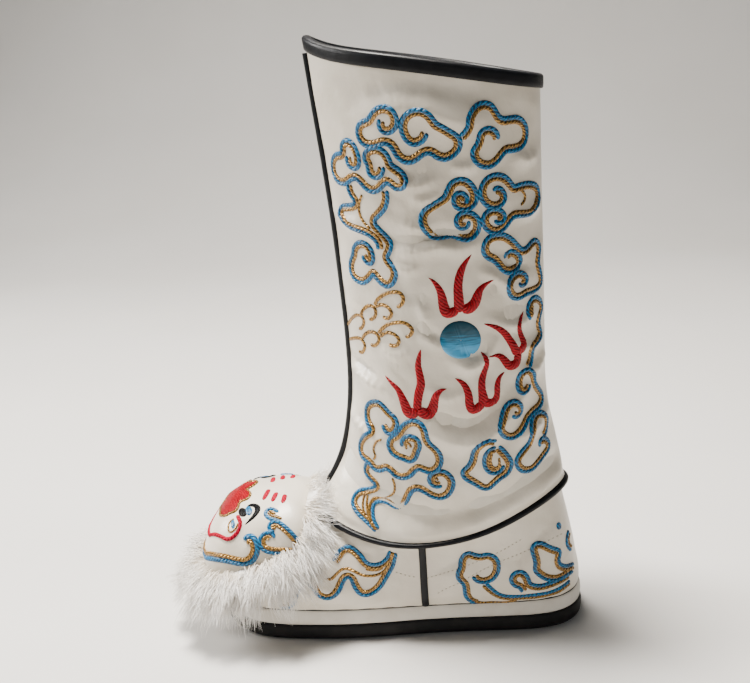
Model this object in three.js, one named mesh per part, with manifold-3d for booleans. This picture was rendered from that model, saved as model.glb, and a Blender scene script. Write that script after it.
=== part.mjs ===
// A tall white satin stage boot with a stuffed tiger head on the toe, after the folk "tiger head shoe".
// Millimetres. +Z is up, the toe points along -Y and +X is the wearer's left. The origin is on the floor,
// under the middle of the flat outsole. The boot is straight-lasted, so it fits either foot.
//
// Stations along the boot are measured from the back of the heel towards the toe.
import * as THREE from "three";
import { mergeVertices } from "three/addons/utils/BufferGeometryUtils.js";
import Module from "manifold-3d";

const wasm = await Module();
wasm.setup();

// Sole
const SOLE_LENGTH = 288;
const BALL_WIDTH = 96;
const HEEL_WIDTH = 70;
const OUTSOLE_THICKNESS = 13;
const MIDSOLE_THICKNESS = 13;
const TOE_SPRING = 8;
const SPRING_START = 0.83; // share of the sole's length where the toe starts to rise
const INSOLE_THICKNESS = 4;

// Upper
const UPPER_WALL = 2.4;
const HEM_BACK_HEIGHT = 117; // where the shaft is sewn to the foot, above the floor
const HEM_SIDE_HEIGHT = 86.5;
const HEM_FRONT_HEIGHT = 99;
const HEM_FLARE = 3.6; // how far the shaft's lower edge stands out over the foot
const DIP_FORWARD = 1.15; // above 1, the seams' lowest point lies forward of the middle
const COLLAR_BACK_HEIGHT = 407;
const COLLAR_SIDE_HEIGHT = 423;
const COLLAR_FRONT_HEIGHT = 436;
const COLLAR_PEAK = 6;
const SHAFT_AXIS = 98.5; // station of the shaft's middle
const SHAFT_DEPTH = 145; // front to back
const SHAFT_WIDTH = 90;

// Trim
const BINDING_DROP = 7; // how far the collar binding reaches down the wall
const BINDING_THICKNESS = 1.7;
const PIPING_WIDTH = 5.2;
const PIPING_PROUD = 2.6;
const HEM_CORD_RADIUS = 2.3;
const STRIP_STATION = 121;
const STRIP_WIDTH = 6.4;
const STRIP_PROUD = 1.3;

// Tiger head and its fur
const MASK_BACK = 208;
const MASK_LENGTH = 90;
const MASK_WIDTH = 98;
const MASK_CROWN_HEIGHT = 110;
const MASK_EDGE_HEIGHT = 54; // lower lip, at the toe
const FUR_BAND_RADIUS = 10;
const FUR_BAND_CLEAR = 4; // how far the fur's middle line runs outside the head, end to end
const FUR_LOCK_LENGTH = 26;
const FUR_LOCK_RADIUS = 7.5;

const GAP = 0.35; // between pieces that touch
const SUNK = 1.2; // depth to which a trim starts in the wall before it is cut back
const AROUND = 40; // points in one section of the upper or sole

const SOLE_TOP = OUTSOLE_THICKNESS + MIDSOLE_THICKNESS;
const HALF_TURN = Math.PI;

// Rows of values named by their columns.
const table = (names, rows) => rows.map((row) => Object.fromEntries(names.map((name, i) => [name, row[i]])));

// Foot sections, from the feather line to the hem of the shaft. rise is the share of the way up, back and
// front are shares of the sole's length, heel is a share of half the heel width, and waist, ball and toe are
// shares of half the ball width. blunt sets how square the ends are, and crease how sharply they are folded:
// 2 and 0.5 make an ellipse.
const FOOT_ROWS = table(
  ["rise", "back", "front", "heel", "waist", "ball", "toe", "blunt", "crease"],
  [
    [0.0, 0.01, 0.99, 0.94, 0.78, 0.95, 0.9, 8, 0.5],
    [0.14, 0.006, 1.005, 1.0, 0.84, 1.01, 0.94, 8, 0.5],
    [0.33, 0.017, 1.003, 1.0, 0.84, 1.0, 0.92, 7, 0.5],
    [0.52, 0.03, 0.975, 0.97, 0.82, 0.96, 0.84, 6, 0.5],
    [0.69, 0.04, 0.918, 0.94, 0.81, 0.91, 0.75, 5, 0.5],
    [0.85, 0.048, 0.82, 0.93, 0.82, 0.87, 0.68, 4, 0.51],
    [1.0, 0.056, 0.71, 0.97, 0.88, 0.88, 0.74, 3, 0.55],
  ],
);

// Shaft sections above the hem, folded at the front and back seams. rise is the share of the way from hem to
// collar, back and front are shares of the shaft's depth from its axis, and the widths are shares of half its
// width. peak is the share of the pointed lift at the front of the collar.
const SHAFT_ROWS = table(
  ["rise", "back", "front", "heel", "waist", "ball", "toe", "blunt", "crease", "peak"],
  [
    [0.05, -0.566, 0.636, 0.98, 0.98, 0.97, 0.88, 2.7, 0.58, 0],
    [0.12, -0.545, 0.56, 1.0, 0.99, 0.98, 0.92, 2.5, 0.62, 0],
    [0.2, -0.515, 0.513, 1.0, 0.99, 0.98, 0.95, 2.4, 0.65, 0],
    [0.29, -0.5, 0.487, 1.0, 0.99, 0.98, 0.97, 2.3, 0.68, 0],
    [0.4, -0.5, 0.482, 1.0, 0.98, 0.97, 0.97, 2.3, 0.7, 0],
    [0.52, -0.5, 0.49, 1.0, 0.97, 0.96, 0.96, 2.3, 0.7, 0],
    [0.64, -0.498, 0.502, 1.0, 0.97, 0.96, 0.95, 2.2, 0.7, 0],
    [0.76, -0.495, 0.522, 1.0, 0.98, 0.96, 0.93, 2.2, 0.68, 0],
    [0.88, -0.494, 0.547, 1.0, 0.99, 0.97, 0.9, 2.1, 0.65, 0.3],
    [1.0, -0.494, 0.572, 1.0, 1.0, 0.98, 0.88, 2.1, 0.62, 1],
  ],
);

// Cross-sections of the stuffed head, from the brow to the muzzle. at is the share of its length, crown the
// share of its height above the lower lip, edge the height of its side edge on the same scale and half the
// share of half its width.
const MASK_ROWS = table(
  ["at", "crown", "edge", "half"],
  [
    [0.0, 0.82, 0.42, 0.7],
    [0.08, 0.95, 0.4, 0.86],
    [0.25, 1.0, 0.32, 0.97],
    [0.45, 0.98, 0.24, 1.0],
    [0.62, 0.92, 0.17, 0.98],
    [0.78, 0.78, 0.1, 0.91],
    [0.9, 0.57, 0.05, 0.75],
    [0.97, 0.36, 0.02, 0.54],
    [1.0, 0.19, 0.01, 0.33],
  ],
);

// The fur trim runs round the head from the muzzle to the nape. height is its middle line as a share of the
// crown's height, out how far its locks lean outwards and droop how far they hang: below zero they stand up.
const FUR_ROWS = table(
  ["height", "out", "droop", "length"],
  [
    [0.4, 0.75, 0.7, 0.95],
    [0.44, 0.6, 0.9, 1.0],
    [0.54, 0.5, 1.1, 1.05],
    [0.72, 0.75, 0.8, 0.95],
    [0.98, 0.2, -1.0, 0.62],
  ],
);

const HEM_ROW = FOOT_ROWS.length - 1;
const COLLAR_ROW = HEM_ROW + SHAFT_ROWS.length;

const mix = (a, b, share) => a + (b - a) * share;

// Smooth curve through evenly spaced values, read at position t.
function through(values, t) {
  const last = values.length - 1;
  const i = Math.min(Math.max(Math.floor(t), 0), last - 1);
  const f = t - i;
  const [b, c] = [values[i], values[i + 1]];
  const a = values[i - 1] ?? b;
  const d = values[i + 2] ?? c;
  return b + 0.5 * f * (c - a + f * (2 * a - 5 * b + 4 * c - d + f * (3 * (b - c) + d - a)));
}

// Rise of the sprung toe at a station.
function spring(station) {
  const share = (station / SOLE_LENGTH - SPRING_START) / (1 - SPRING_START);
  return TOE_SPRING * Math.max(share, 0) ** 2;
}

// Sections in millimetres, foot and shaft in one column-wise table.
function sectionColumns() {
  const floor = SOLE_TOP + GAP;
  const foot = FOOT_ROWS.map((row) => ({
    back: row.back * SOLE_LENGTH,
    front: row.front * SOLE_LENGTH,
    backHeight: mix(floor, HEM_BACK_HEIGHT, row.rise),
    sideHeight: mix(floor, HEM_SIDE_HEIGHT, row.rise),
    frontHeight: mix(floor, HEM_FRONT_HEIGHT, row.rise),
    heel: (row.heel * HEEL_WIDTH) / 2,
    waist: (row.waist * BALL_WIDTH) / 2,
    ball: (row.ball * BALL_WIDTH) / 2,
    toe: (row.toe * BALL_WIDTH) / 2,
    blunt: row.blunt,
    crease: row.crease,
    peak: 0,
  }));
  const shaft = SHAFT_ROWS.map((row) => ({
    back: SHAFT_AXIS + row.back * SHAFT_DEPTH,
    front: SHAFT_AXIS + row.front * SHAFT_DEPTH,
    backHeight: mix(HEM_BACK_HEIGHT, COLLAR_BACK_HEIGHT, row.rise),
    sideHeight: mix(HEM_SIDE_HEIGHT, COLLAR_SIDE_HEIGHT, row.rise),
    frontHeight: mix(HEM_FRONT_HEIGHT, COLLAR_FRONT_HEIGHT, row.rise),
    heel: (row.heel * SHAFT_WIDTH) / 2,
    waist: (row.waist * SHAFT_WIDTH) / 2,
    ball: (row.ball * SHAFT_WIDTH) / 2,
    toe: (row.toe * SHAFT_WIDTH) / 2,
    blunt: row.blunt,
    crease: row.crease,
    peak: row.peak * COLLAR_PEAK,
  }));
  const rows = [...foot, ...shaft];
  return Object.fromEntries(Object.keys(rows[0]).map((key) => [key, rows.map((row) => row[key])]));
}
const COLUMNS = sectionColumns();

const sectionAt = (t) =>
  Object.fromEntries(Object.entries(COLUMNS).map(([key, column]) => [key, through(column, t)]));

// Point in the boot's frame from a station, a sideways offset and a height.
const place = (station, side, height) => new THREE.Vector3(side, SOLE_LENGTH / 2 - station, height);

// Plan outline of a foot or shaft section. The angle runs from 0 at the back to a half turn at the front.
function outline(section, angle) {
  const along = -Math.cos(angle);
  const share = (1 + along) / 2;
  const half = through([section.heel, section.waist, section.ball, section.toe], 3 * share);
  const fullness = Math.max(1 - Math.abs(along) ** section.blunt, 0) ** section.crease;
  return {
    share,
    station: mix(section.back, section.front, share),
    side: Math.sign(Math.sin(angle)) * half * fullness,
  };
}

// The upper's outer face before any flare: t counts the section rows from the feather line to the collar.
function faceOfUpper(t, angle) {
  const section = sectionAt(t);
  const { share, station, side } = outline(section, angle);
  const { backHeight, sideHeight, frontHeight, peak } = section;
  const dip = sideHeight - (backHeight + frontHeight) / 2;
  const bow = Math.sin(HALF_TURN * share ** DIP_FORWARD);
  const height = mix(backHeight, frontHeight, share) + bow * dip + peak * share ** 12;
  return place(station, side, height + spring(station));
}

// Directions on the upper's face: up the wall, round the wall, and out of it.
function frameOfUpper(t, angle) {
  const step = 1e-3;
  const up = faceOfUpper(Math.min(t + step, COLLAR_ROW), angle);
  up.sub(faceOfUpper(Math.max(t - step, 0), angle)).normalize();
  const round = faceOfUpper(t, angle + step).sub(faceOfUpper(t, angle - step)).normalize();
  const out = new THREE.Vector3().crossVectors(up, round).normalize();
  return { up, round, out };
}

// The upper's face moved out by an offset. The two rims move level, so that they stay in their planes.
function skin(t, angle, offset) {
  const { out } = frameOfUpper(t, angle);
  if (t === 0 || t === COLLAR_ROW) out.setZ(0).normalize();
  return faceOfUpper(t, angle).addScaledVector(out, offset);
}

// How far the shaft's lower edge stands out, fading up the shaft.
const flare = (t) => (t < HEM_ROW ? 0 : HEM_FLARE * Math.exp(-(t - HEM_ROW) * 0.9));

const angles = Array.from({ length: AROUND }, (_, i) => (2 * Math.PI * i) / AROUND);
const ringOf = (point) => angles.map(point);

// Rows at which the mesh has a ring, closer together over the foot and the ankle's curve.
function rowPositions(from, to) {
  const straightFrom = HEM_ROW + 3;
  const rows = [];
  for (let t = from; t < to; t += t < straightFrom ? 0.5 : 1) rows.push(t);
  return [...rows, to];
}

// Solid from a list of corner points and of triangles that index them, turned to face out.
function solidOf(points, triangles) {
  const geometry = new THREE.BufferGeometry().setFromPoints(points);
  geometry.setIndex(triangles.flat());
  const merged = mergeVertices(geometry, 1e-4);
  const index = Array.from(merged.index.array);
  const build = (triVerts) =>
    new wasm.Manifold(
      new wasm.Mesh({
        numProp: 3,
        vertProperties: merged.attributes.position.array,
        triVerts: Uint32Array.from(triVerts),
      }),
    );
  const made = build(index);
  if (made.volume() > 0) return made;
  const turned = [];
  for (let i = 0; i < index.length; i += 3) turned.push(index[i], index[i + 2], index[i + 1]);
  return build(turned);
}

// Two triangles between neighbouring points of two rings.
function quad(a, b, c, d) {
  return [
    [a, b, c],
    [a, c, d],
  ];
}

function wallTriangles(ringCount, size, closed) {
  const triangles = [];
  const walls = closed ? ringCount : ringCount - 1;
  for (let ring = 0; ring < walls; ring++)
    for (let i = 0; i < size; i++) {
      const [low, high] = [ring * size, ((ring + 1) % ringCount) * size];
      const next = (i + 1) % size;
      triangles.push(...quad(low + i, low + next, high + next, high + i));
    }
  return triangles;
}

// Cap of a ring that is symmetric left to right, made of strips across it.
function stripCap(start, size, flip) {
  const triangles = [];
  for (let i = 0; i < size / 2; i++) {
    const [left, right] = [(size - i) % size, i];
    const [nextLeft, nextRight] = [size - i - 1, i + 1];
    const corners = [left, right, nextRight, nextLeft].map((k) => k + start);
    for (const [a, b, c] of quad(...corners))
      if (a !== b && b !== c && c !== a) triangles.push(flip ? [a, c, b] : [a, b, c]);
  }
  return triangles;
}

// Closed tube through rings, the last joined to the first.
function hoopSolid(rings) {
  return solidOf(rings.flat(), wallTriangles(rings.length, rings[0].length, true));
}

// Solid through rings, closed by a strip cap at each end.
function stackSolid(rings) {
  const size = rings[0].length;
  return solidOf(rings.flat(), [
    ...wallTriangles(rings.length, size, false),
    ...stripCap(0, size, true),
    ...stripCap((rings.length - 1) * size, size, false),
  ]);
}

// Bar through cross-sections whose first point can see all the others.
function barSolid(rings) {
  const size = rings[0].length;
  const last = (rings.length - 1) * size;
  const fans = Array.from({ length: size - 2 }, (_, i) => [
    [0, i + 2, i + 1],
    [last, last + i + 1, last + i + 2],
  ]).flat();
  return solidOf(rings.flat(), [...wallTriangles(rings.length, size, false), ...fans]);
}

function upperSolid() {
  const footRows = rowPositions(0, HEM_ROW);
  const shaftRows = rowPositions(HEM_ROW, COLLAR_ROW);
  const rings = [
    ...footRows.map((t) => ringOf((angle) => skin(t, angle, 0))),
    ...shaftRows.map((t) => ringOf((angle) => skin(t, angle, flare(t)))),
    ...[...footRows, ...shaftRows.slice(1)]
      .reverse()
      .map((t) => ringOf((angle) => skin(t, angle, -UPPER_WALL))),
  ];
  return hoopSolid(rings);
}

// The boot's whole outside as one filled form, grown by a clearance, for cutting what lies on it.
function upperForm(grow, topRow) {
  const below = ringOf((angle) => skin(0, angle, grow).setZ(0));
  const ring = (t, offset) =>
    ringOf((angle) => {
      const point = skin(t, angle, grow + offset);
      return t === HEM_ROW ? point.addScaledVector(frameOfUpper(t, angle).up, -grow) : point;
    });
  const foot = rowPositions(0, HEM_ROW).map((t) => ring(t, 0));
  const shaft = rowPositions(HEM_ROW, topRow).map((t) => ring(t, flare(t)));
  return stackSolid([below, ...foot, ...shaft]);
}

// One layer of the sole. edge lists height shares and how far in from the widest outline each lies.
function soleLayer(bottom, top, edge, grow = 0) {
  const rings = edge.map(({ up, inset }) => {
    const half = (share, width) => (share * width) / 2 - inset + grow;
    const section = {
      back: inset - grow,
      front: SOLE_LENGTH - inset + grow,
      heel: half(1, HEEL_WIDTH),
      waist: half(0.8, BALL_WIDTH),
      ball: half(1, BALL_WIDTH),
      toe: half(0.96, BALL_WIDTH),
      blunt: 8,
      crease: 0.5,
    };
    return ringOf((angle) => {
      const { station, side } = outline(section, angle);
      return place(station, side, mix(bottom, top, up) + spring(station));
    });
  });
  return stackSolid(rings);
}

const OUTSOLE_EDGE = [
  { up: 0, inset: 3.2 },
  { up: 0.13, inset: 1.1 },
  { up: 0.4, inset: 0.1 },
  { up: 0.7, inset: 0.1 },
  { up: 0.9, inset: 0.6 },
  { up: 1, inset: 1.6 },
];
const MIDSOLE_EDGE = [
  { up: 0, inset: 2.2 },
  { up: 0.12, inset: 1.2 },
  { up: 0.4, inset: 0.7 },
  { up: 0.7, inset: 0.9 },
  { up: 0.9, inset: 1.6 },
  { up: 1, inset: 2.6 },
];

const outsoleSolid = (grow) => soleLayer(-(grow ?? 0), OUTSOLE_THICKNESS + (grow ?? 0), OUTSOLE_EDGE, grow);
const midsoleSolid = (grow) =>
  soleLayer(OUTSOLE_THICKNESS + GAP - (grow ?? 0), SOLE_TOP + (grow ?? 0), MIDSOLE_EDGE, grow);

function insoleSolid() {
  const inset = UPPER_WALL + 2 * GAP;
  const bottom = SOLE_TOP + GAP;
  const section = sectionAt(0);
  const narrow = {
    ...section,
    back: section.back + inset,
    front: section.front - inset,
    heel: section.heel - inset,
    waist: section.waist - inset,
    ball: section.ball - inset,
    toe: section.toe - inset,
  };
  return stackSolid(
    [bottom, bottom + INSOLE_THICKNESS].map((height) =>
      ringOf((angle) => {
        const { station, side } = outline(narrow, angle);
        return place(station, side, height + spring(station));
      }),
    ),
  );
}

// Folded binding round the collar, a channel that the wall's edge stands in.
function collarBinding() {
  const inner = -UPPER_WALL - GAP;
  const thick = BINDING_THICKNESS;
  const channel = [
    { out: GAP, up: -BINDING_DROP },
    { out: GAP + 0.8 * thick, up: -BINDING_DROP },
    { out: GAP + thick, up: 0.2 * thick },
    { out: GAP + 0.3 * thick, up: GAP + 0.9 * thick },
    { out: -UPPER_WALL / 2, up: GAP + 1.2 * thick },
    { out: inner - 0.3 * thick, up: GAP + 0.9 * thick },
    { out: inner - thick, up: 0.2 * thick },
    { out: inner - 0.8 * thick, up: -BINDING_DROP },
    { out: inner, up: -BINDING_DROP },
    { out: inner, up: GAP },
    { out: GAP, up: GAP },
  ];
  return hoopSolid(
    ringOf((angle) => {
      const { up, out } = frameOfUpper(COLLAR_ROW, angle);
      const rim = faceOfUpper(COLLAR_ROW, angle);
      out.setZ(0).normalize();
      return channel.map((corner) =>
        rim.clone().addScaledVector(out, corner.out).addScaledVector(up, corner.up),
      );
    }),
  );
}

// Half-round bead that stands proud of the wall. Its foot is sunk, to be cut back to the wall.
function beadSection(origin, across, out, width, proud, grow = 0) {
  const bends = 6;
  const half = width / 2 + grow;
  const rounded = Array.from({ length: bends + 1 }, (_, i) => {
    const turn = (HALF_TURN * i) / bends;
    return { across: half * Math.cos(turn), out: (proud + grow) * Math.sin(turn) };
  });
  return [...rounded, { across: -half, out: -SUNK }, { across: half, out: -SUNK }].map((corner) =>
    origin.clone().addScaledVector(across, corner.across).addScaledVector(out, corner.out),
  );
}

// Row position on the front seam that lies a distance below the collar.
function rowBelowCollar(distance, angle) {
  let t = COLLAR_ROW;
  const rim = faceOfUpper(COLLAR_ROW, angle);
  while (t > HEM_ROW && rim.distanceTo(faceOfUpper(t, angle)) < distance) t -= 0.01;
  return t;
}

function frontPiping(grow = 0) {
  const start = HEM_ROW + 0.05;
  const end = rowBelowCollar(BINDING_DROP + 4 * GAP, HALF_TURN);
  const rows = Array.from({ length: 23 }, (_, i) => mix(start, end, i / 22));
  return barSolid(
    rows.map((t) => {
      const { round, out } = frameOfUpper(t, HALF_TURN);
      const origin = skin(t, HALF_TURN, flare(t));
      return beadSection(origin, round, out, PIPING_WIDTH, PIPING_PROUD, grow);
    }),
  );
}

// Round cord under the shaft's lower edge, lying on the foot.
function hemCord(grow = 0) {
  const sides = 8;
  const reach = HEM_CORD_RADIUS + GAP;
  return hoopSolid(
    ringOf((angle) => {
      const { up, out } = frameOfUpper(HEM_ROW, angle);
      const middle = faceOfUpper(HEM_ROW, angle).addScaledVector(out, reach).addScaledVector(up, -reach);
      return Array.from({ length: sides }, (_, i) => {
        const turn = (2 * Math.PI * i) / sides;
        const radius = HEM_CORD_RADIUS + grow;
        return middle
          .clone()
          .addScaledVector(out, radius * Math.cos(turn))
          .addScaledVector(up, radius * Math.sin(turn));
      });
    }),
  );
}

// A trim cut back to the wall that it lies on.
const seated = (trim) => trim.subtract(upperForm(GAP, COLLAR_ROW));

// Angle round a section at which it passes a station, on the wearer's left or right.
function angleAtStation(t, station, left) {
  const { back, front } = sectionAt(t);
  const angle = Math.acos(1 - (2 * (station - back)) / (front - back));
  return left ? angle : -angle;
}

// Bound seam between vamp and quarter, from the sole up to the hem cord.
function sideStrip(left) {
  const clearOfCord = 0.45;
  const rows = Array.from({ length: 11 }, (_, i) => mix(0.04, HEM_ROW - clearOfCord, i / 10));
  return barSolid(
    rows.map((t) => {
      const angle = angleAtStation(t, STRIP_STATION, left);
      const { round, out } = frameOfUpper(t, angle);
      return beadSection(faceOfUpper(t, angle), round, out, STRIP_WIDTH, STRIP_PROUD);
    }),
  );
}

// The stuffed head before it is fitted over the toe, a dome of rounded cross-sections.
function maskDome(grow = 0) {
  const bends = 18;
  const squareness = 2 / 2.4;
  const column = (key) => MASK_ROWS.map((row) => row[key]);
  const tall = MASK_CROWN_HEIGHT - MASK_EDGE_HEIGHT;
  const last = MASK_ROWS.length - 1;
  const rings = Array.from({ length: 2 * last + 1 }, (_, i) => {
    const t = i / 2;
    const sign = mix(-1, 1, i / (2 * last));
    const station = MASK_BACK + through(column("at"), t) * MASK_LENGTH + sign * grow;
    const half = (through(column("half"), t) * MASK_WIDTH) / 2 + grow;
    const edge = MASK_EDGE_HEIGHT + through(column("edge"), t) * tall - grow;
    const crown = MASK_EDGE_HEIGHT + through(column("crown"), t) * tall + grow;
    return Array.from({ length: bends + 1 }, (_, k) => {
      const turn = (HALF_TURN * k) / bends;
      const across = Math.sign(Math.cos(turn)) * Math.abs(Math.cos(turn)) ** squareness;
      return place(station, half * across, mix(edge, crown, Math.abs(Math.sin(turn)) ** squareness));
    });
  });
  return barSolid(rings);
}

function maskSolid() {
  const fitted = maskDome().subtract(upperForm(GAP, HEM_ROW + 2));
  return largestPiece(fitted.subtract(hemCord(GAP)).subtract(frontPiping(GAP)));
}

const largestPiece = (solid) =>
  solid.decompose().reduce((best, piece) => (piece.volume() > best.volume() ? piece : best));

// Middle line of the fur trim round the head. The turn runs from 0 at the muzzle to a half turn at the nape.
function furPath(turn) {
  const reach = MASK_LENGTH / 2 + FUR_BAND_CLEAR;
  const middle = MASK_BACK + MASK_LENGTH / 2;
  const square = (value) => Math.sign(value) * Math.abs(value) ** 0.8;
  const position = (Math.abs(turn) / HALF_TURN) * (FUR_ROWS.length - 1);
  const pick = (key) => through(FUR_ROWS.map((row) => row[key]), position);
  const station = middle + reach * square(Math.cos(turn));
  const side = (MASK_WIDTH / 2) * square(Math.sin(turn));
  return {
    centre: place(station, side, pick("height") * MASK_CROWN_HEIGHT),
    outward: new THREE.Vector3(Math.sin(turn), -Math.cos(turn), 0),
    out: pick("out"),
    droop: pick("droop"),
    length: pick("length") * FUR_LOCK_LENGTH,
  };
}

// One tapered lock of fur from a root point.
function furLock(root, direction, length, radius) {
  const cone = new THREE.ConeGeometry(radius, length, 5).translate(0, length / 2, 0);
  const turn = new THREE.Quaternion().setFromUnitVectors(new THREE.Vector3(0, 1, 0), direction);
  cone.applyQuaternion(turn).translate(root.x, root.y, root.z);
  for (const name of ["normal", "uv"]) cone.deleteAttribute(name);
  const merged = mergeVertices(cone, 1e-4);
  return new wasm.Manifold(
    new wasm.Mesh({
      numProp: 3,
      vertProperties: merged.attributes.position.array,
      triVerts: new Uint32Array(merged.index.array),
    }),
  );
}

function furBand() {
  const stations = 36;
  const sides = 7;
  return hoopSolid(
    Array.from({ length: stations }, (_, i) => {
      const turn = HALF_TURN * (1 - (2 * i) / stations);
      const { centre, outward } = furPath(turn);
      return Array.from({ length: sides }, (_, k) => {
        const spin = (2 * Math.PI * k) / sides;
        return centre
          .clone()
          .addScaledVector(outward, FUR_BAND_RADIUS * Math.cos(spin))
          .add(new THREE.Vector3(0, 0, FUR_BAND_RADIUS * Math.sin(spin)));
      });
    }),
  );
}

function furSolid() {
  const perTier = 28;
  const tiers = [
    { shift: 0, lift: -0.33, lean: 0.8, hang: 1.0, length: 1.0 },
    { shift: 0.5, lift: 0.25, lean: 1.3, hang: 0.15, length: 0.8 },
  ];
  let fur = furBand();
  for (const [tierIndex, tier] of tiers.entries())
    for (let i = 0; i < perTier; i++) {
      const turn = HALF_TURN * (1 - (2 * (i + tier.shift)) / perTier);
      const { centre, outward, out, droop, length } = furPath(turn);
      const wave = Math.sin(5.1 * i + 2.3 * tierIndex);
      const along = new THREE.Vector3(-outward.y, outward.x, 0);
      const direction = outward.clone().multiplyScalar(out * tier.lean);
      direction.add(new THREE.Vector3(0, 0, -tier.hang * droop)).addScaledVector(along, 0.18 * wave);
      direction.normalize();
      const root = centre.clone().add(new THREE.Vector3(0, 0, tier.lift * FUR_BAND_RADIUS));
      root.addScaledVector(direction, 0.35 * FUR_BAND_RADIUS);
      const size = length * tier.length * (1 + 0.12 * wave);
      fur = fur.add(furLock(root, direction, size, FUR_LOCK_RADIUS));
    }
  const cutters = [
    upperForm(GAP, COLLAR_ROW - 1),
    midsoleSolid(GAP),
    outsoleSolid(GAP),
    maskDome(GAP),
    hemCord(GAP),
    frontPiping(GAP),
  ];
  for (const cutter of cutters) fur = fur.subtract(cutter);
  return largestPiece(fur);
}

const finish = (color, roughness) => new THREE.MeshStandardMaterial({ color, roughness, metalness: 0 });
const FINISHES = {
  blackRubber: finish(0x141316, 0.55),
  whiteCloth: finish(0xe6e0d6, 0.75),
  whiteSatin: finish(0xe9e4da, 0.35),
  blackPiping: finish(0x101116, 0.35),
  lining: finish(0xd9d4c8, 0.85),
  whiteFur: finish(0xf4f1ea, 0.9),
};

function nodeOf(name, solid, material) {
  const { vertProperties, triVerts } = solid.getMesh();
  const geometry = new THREE.BufferGeometry();
  geometry.setAttribute("position", new THREE.BufferAttribute(vertProperties, 3));
  geometry.setIndex(new THREE.BufferAttribute(triVerts, 1));
  geometry.computeVertexNormals();
  const mesh = new THREE.Mesh(geometry, material);
  mesh.name = name;
  return mesh;
}

const boot = new THREE.Group();
boot.name = "tiger_head_boot";
boot.add(
  nodeOf("outsole", outsoleSolid(), FINISHES.blackRubber),
  nodeOf("midsole", midsoleSolid(), FINISHES.whiteCloth),
  nodeOf("insole", insoleSolid(), FINISHES.lining),
  nodeOf("upper", upperSolid(), FINISHES.whiteSatin),
  nodeOf("collar_binding", collarBinding(), FINISHES.blackPiping),
  nodeOf("front_piping", seated(frontPiping()), FINISHES.blackPiping),
  nodeOf("hem_cord", seated(hemCord()), FINISHES.blackPiping),
  nodeOf("side_strip_left", seated(sideStrip(true)), FINISHES.blackPiping),
  nodeOf("side_strip_right", seated(sideStrip(false)), FINISHES.blackPiping),
  nodeOf("tiger_head", maskSolid(), FINISHES.whiteSatin),
  nodeOf("fur_trim", furSolid(), FINISHES.whiteFur),
);

export default boot;
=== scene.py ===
"""Tall white satin stage boot with a stuffed tiger head on the toe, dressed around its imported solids.

Lengths are in millimetres until a mesh is made.
+Z is up, the toe points along -Y and +X is the wearer's left.
Stations along the boot are measured from the back of the heel towards the toe.
"""

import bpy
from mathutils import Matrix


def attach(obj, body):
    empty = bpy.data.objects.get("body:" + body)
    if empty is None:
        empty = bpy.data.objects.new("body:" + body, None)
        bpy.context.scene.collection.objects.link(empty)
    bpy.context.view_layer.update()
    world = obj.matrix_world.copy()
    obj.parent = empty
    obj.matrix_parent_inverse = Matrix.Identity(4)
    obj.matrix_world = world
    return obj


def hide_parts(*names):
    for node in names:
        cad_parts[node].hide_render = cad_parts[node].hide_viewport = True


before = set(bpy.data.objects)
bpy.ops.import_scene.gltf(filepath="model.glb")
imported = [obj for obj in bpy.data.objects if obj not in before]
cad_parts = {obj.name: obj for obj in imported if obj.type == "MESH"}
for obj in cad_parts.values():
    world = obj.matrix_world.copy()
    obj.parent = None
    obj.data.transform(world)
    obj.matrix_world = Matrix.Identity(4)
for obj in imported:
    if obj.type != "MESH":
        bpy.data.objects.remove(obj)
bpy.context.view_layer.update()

import logging
import math
from dataclasses import dataclass, field
from enum import Enum

import bpy
import numpy as np
from mathutils import Vector
from mathutils.bvhtree import BVHTree

LOG = logging.getLogger("tiger_head_boot")
MM = 0.001
BODY = "root"
CHART_STEP = 0.8  # pixels between the points of a line read from its chart
Array = np.ndarray
Point2 = tuple[float, float]
Colour = tuple[float, float, float]
Socket = bpy.types.NodeSocket
UP = np.array([0, 0, 1.0])


class Slot(Enum):
    """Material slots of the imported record."""

    RUBBER = "black_rubber"
    CLOTH = "white_cloth"
    LINING = "lining"
    SATIN = "white_satin"
    PIPING = "black_piping"
    FUR = "white_fur"


class Side(Enum):
    """The two sides of the boot, as the sign of X."""

    LEFT = 1
    RIGHT = -1


# Curves and meshes

def mix(a: float | Array, b: float | Array, share: float | Array) -> float | Array:
    """Value between a and b."""
    return a + (b - a) * share


def cubic(a: Array, b: Array, c: Array, d: Array, share: Array) -> Array:
    """Smooth curve from b to c, with a before them and d after them."""
    return b + 0.5 * share * (c - a + share * (2 * a - 5 * b + 4 * c - d + share * (3 * (b - c) + d - a)))


def through(values: Array, position: Array) -> Array:
    """Reads a smooth curve through evenly spaced values.

    Args:
        values: Values along the first axis.
        position: Positions counted in values.

    Returns:
        The curve's value at each position.
    """
    values = np.asarray(values, float)
    position = np.asarray(position, float)
    last = len(values) - 1
    i = np.clip(np.floor(position).astype(int), 0, last - 1)
    share = position - i
    if values.ndim > 1:
        share = share[..., None]
    before, after = values[np.maximum(i - 1, 0)], values[np.minimum(i + 2, last)]
    return cubic(before, values[i], values[i + 1], after, share)


def unit(vectors: Array) -> Array:
    """Vectors scaled to length one."""
    return vectors / np.maximum(np.linalg.norm(vectors, axis=-1, keepdims=True), 1e-9)


def levelled(vectors: Array) -> Array:
    """Directions laid level."""
    return unit(vectors * np.array([1, 1, 0]))


def smooth_step(low: float, high: float, value: Array) -> Array:
    """Eased share of the way from low to high."""
    share = np.clip((value - low) / (high - low), 0, 1)
    return share * share * (3 - 2 * share)


def bell(value: Array, spread: float) -> Array:
    """Soft bump of height one about zero."""
    return np.exp(-((value / spread) ** 2))


def blunted(value: Array, power: float) -> Array:
    """A sine or cosine with its curve blunted by a power."""
    return np.sign(value) * np.abs(value) ** power


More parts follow.
